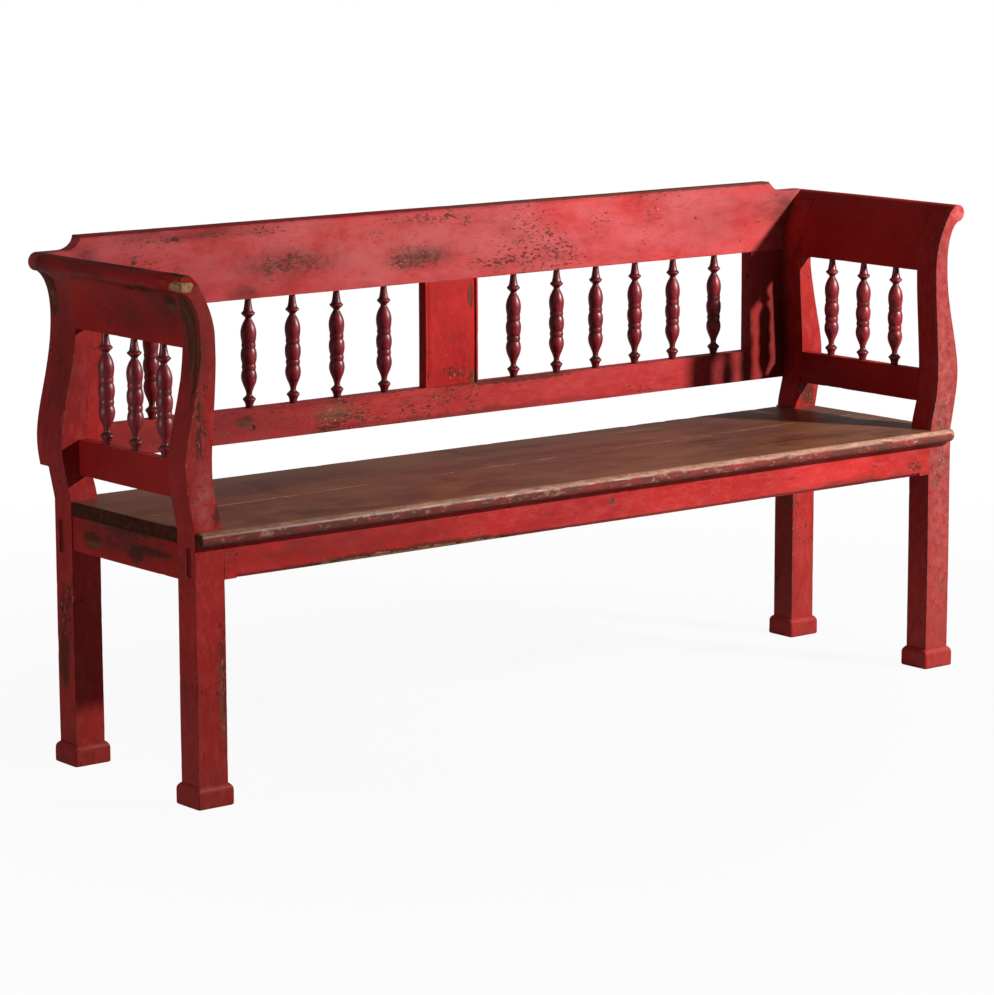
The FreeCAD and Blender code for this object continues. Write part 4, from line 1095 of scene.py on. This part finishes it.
board("back_top_rail", X, (0.12, 0.12), paint_top)
board("back_bottom_rail", X, (0.03, 0.03), paint_x)
board("seat_rail_front", X, (0.08, 0.08), paint_rail, knocks=0.8)
board("seat_rail_rear", X, (0.08, 0.08), paint_rail)
board("back_stile_centre", Z, (0.03, 0.03), paint_stile, ease=0.0012)
board("seat_bearer", Y, (0.01, 0.01), bearer_wood, "bare_wood")
for plank in ("front", "rear"):
    board("seat_plank_" + plank, X, (0.07, 0.07), seat_planks, "seat_wood", ease=0.0016)
for side in SIDES:
    for end in ("front", "rear"):
        board("post_%s_%s" % (end, side), Z, (0.03, 0.5), paint_z)
        block_foot("foot_%s_%s" % (end, side), paint_z)
    board("seat_rail_" + side, Y, (0.03, 0.03), paint_y)
    board("arm_board_" + side, Y, (0.03, 0.03), paint_y, ease=0.0006)
    left = side == "left"
    board("arm_roll_" + side, Y, (0.01, 0.01), paint_roll if left else paint_y, ease=0.0007,
          split=split_roll if left else None)
    board("arm_rail_" + side, Y, (0.03, 0.03), paint_y)
    board("back_stile_" + side, Z, (0.02, 0.03), paint_z)
    for level in ("low", "high"):
        whittled_peg("back_peg_%s_%s" % (side, level), peg_wood)
for end in ("front", "rear"):
    whittled_peg("bearer_peg_" + end, peg_wood)
whittled_peg("back_rail_plug", peg_wood)

lathe = turning_tree()
for node in sorted(nodes):
    if "spindle" in node:
        turned_spindle(lathe, node)


# Floor, light and camera

# Share of the white surroundings that the paint mirrors
MIRRORED_SHARE = 0.12

# Floor: radius, sides, greys for light that it throws back and for the camera, and the distances
# over which it goes over into white, with the share of white that it has near the bench
FLOOR_RADIUS = 40
FLOOR_SIDES = 96
THROWN_GREY = (0.36, 0.36, 0.36)
SEEN_GREY = (0.40, 0.40, 0.40)
FLOOR_NEAR = 0.6
FLOOR_FAR = 2.6
NEAR_WHITE = 0.93

WHITE = (1.0, 1.0, 1.0)
SKY = (1.0, 0.985, 0.97)
SKY_STRENGTH = 0.10
SKY_LOW_SHARE = 0.3

# Lamps: name, place, target, watts, width, colour, and whether the paint mirrors them
LAMPS = (
    ("key", (1.915, -2.11, 1.825), (0.3, 0.0, 0.6), 141, 0.16, (1.0, 0.97, 0.94), True),
    ("behind", (0.6, 4.2, 1.3), (0.0, 0.0, 0.5), 75, 2.0, WHITE, False),
    ("fill", (-4.2, 0.1, 0.95), (0.0, 0.0, 0.5), 30, 1.2, (1.0, 0.98, 0.96), True),
)

# The photo's camera, as its straight edges gave it
LENS = 133.906
SENSOR_WIDTH = 36
CAMERA_PLACE = (-4.17691, -5.14657, 1.56058)
CAMERA_TURN = (1.3968808, 0.0023139, -0.6741699)


def straight_rays(rays):
    """Full for what the camera sees itself or through glass, a little for what the paint mirrors."""
    mirrored = times(rays.outputs["Is Glossy Ray"], MIRRORED_SHARE)
    through = larger(rays.outputs["Is Camera Ray"], rays.outputs["Is Transmission Ray"])
    return larger(through, mirrored)


def pale_floor():
    """A wide pale floor that goes over into the white surroundings and keeps a soft shadow."""
    mesh = bmesh.new()
    bmesh.ops.create_circle(mesh, cap_ends=True, segments=FLOOR_SIDES, radius=FLOOR_RADIUS)
    data = mesh_data("floor", mesh)
    floor = new_object("floor", data)
    material, tree, shader = new_finish("pale_floor")
    shader.inputs["Roughness"].default_value = 0.9
    shader.inputs["Specular IOR Level"].default_value = 0.1
    glow = tree.nodes.new("ShaderNodeEmission")
    feed(glow.inputs["Color"], WHITE)
    rays = tree.nodes.new("ShaderNodeLightPath")
    grey = blended(rays.outputs["Is Camera Ray"], THROWN_GREY, SEEN_GREY)
    feed(shader.inputs["Base Color"], grey)
    distance = vector_maths("LENGTH", object_places(tree))
    keep = spread(distance, FLOOR_NEAR, FLOOR_FAR, NEAR_WHITE, 1.0)
    seen = times(straight_rays(rays), keep)
    both = tree.nodes.new("ShaderNodeMixShader")
    tree.links.new(seen, both.inputs[0])
    tree.links.new(shader.outputs[0], both.inputs[1])
    tree.links.new(glow.outputs[0], both.inputs[2])
    output = next(node for node in tree.nodes if node.type == "OUTPUT_MATERIAL")
    tree.links.new(both.outputs[0], output.inputs["Surface"])
    data.materials.append(material)


def surroundings():
    """White where it is seen, an even soft light elsewhere."""
    world = bpy.data.worlds.new("studio")
    bpy.context.scene.world = world
    world.use_nodes = True
    tree = world.node_tree
    tree.nodes.clear()
    output = tree.nodes.new("ShaderNodeOutputWorld")
    light = tree.nodes.new("ShaderNodeBackground")
    feed(light.inputs["Color"], SKY)
    # Brighter from above than from the sides
    direction = split_axes(tree.nodes.new("ShaderNodeTexCoord").outputs["Generated"])
    above = spread(direction["Z"], 0.1, 0.9, SKY_STRENGTH * SKY_LOW_SHARE, SKY_STRENGTH)
    tree.links.new(above, light.inputs["Strength"])
    white = tree.nodes.new("ShaderNodeBackground")
    feed(white.inputs["Color"], WHITE)
    rays = tree.nodes.new("ShaderNodeLightPath")
    both = tree.nodes.new("ShaderNodeMixShader")
    tree.links.new(straight_rays(rays), both.inputs[0])
    tree.links.new(light.outputs[0], both.inputs[1])
    tree.links.new(white.outputs[0], both.inputs[2])
    tree.links.new(both.outputs[0], output.inputs["Surface"])


def lamp(name, place, target, watts, width, colour, mirrored):
    """A round lamp turned towards its target."""
    data = bpy.data.lights.new(name, "AREA")
    data.shape = "DISK"
    data.size = width
    data.energy = watts
    data.color = colour
    light = new_object(name, data)
    light.location = place
    light.visible_glossy = mirrored
    light.rotation_euler = (Vector(target) - Vector(place)).to_track_quat("-Z", "Y").to_euler()


pale_floor()
surroundings()
for row in LAMPS:
    lamp(*row)

camera_data = bpy.data.cameras.new("camera")
camera_data.sensor_width = SENSOR_WIDTH
camera_data.lens = LENS
camera = new_object("camera", camera_data)
camera.location = CAMERA_PLACE
camera.rotation_euler = CAMERA_TURN
bpy.context.scene.camera = camera

bpy.context.scene.view_settings.view_transform = "Standard"
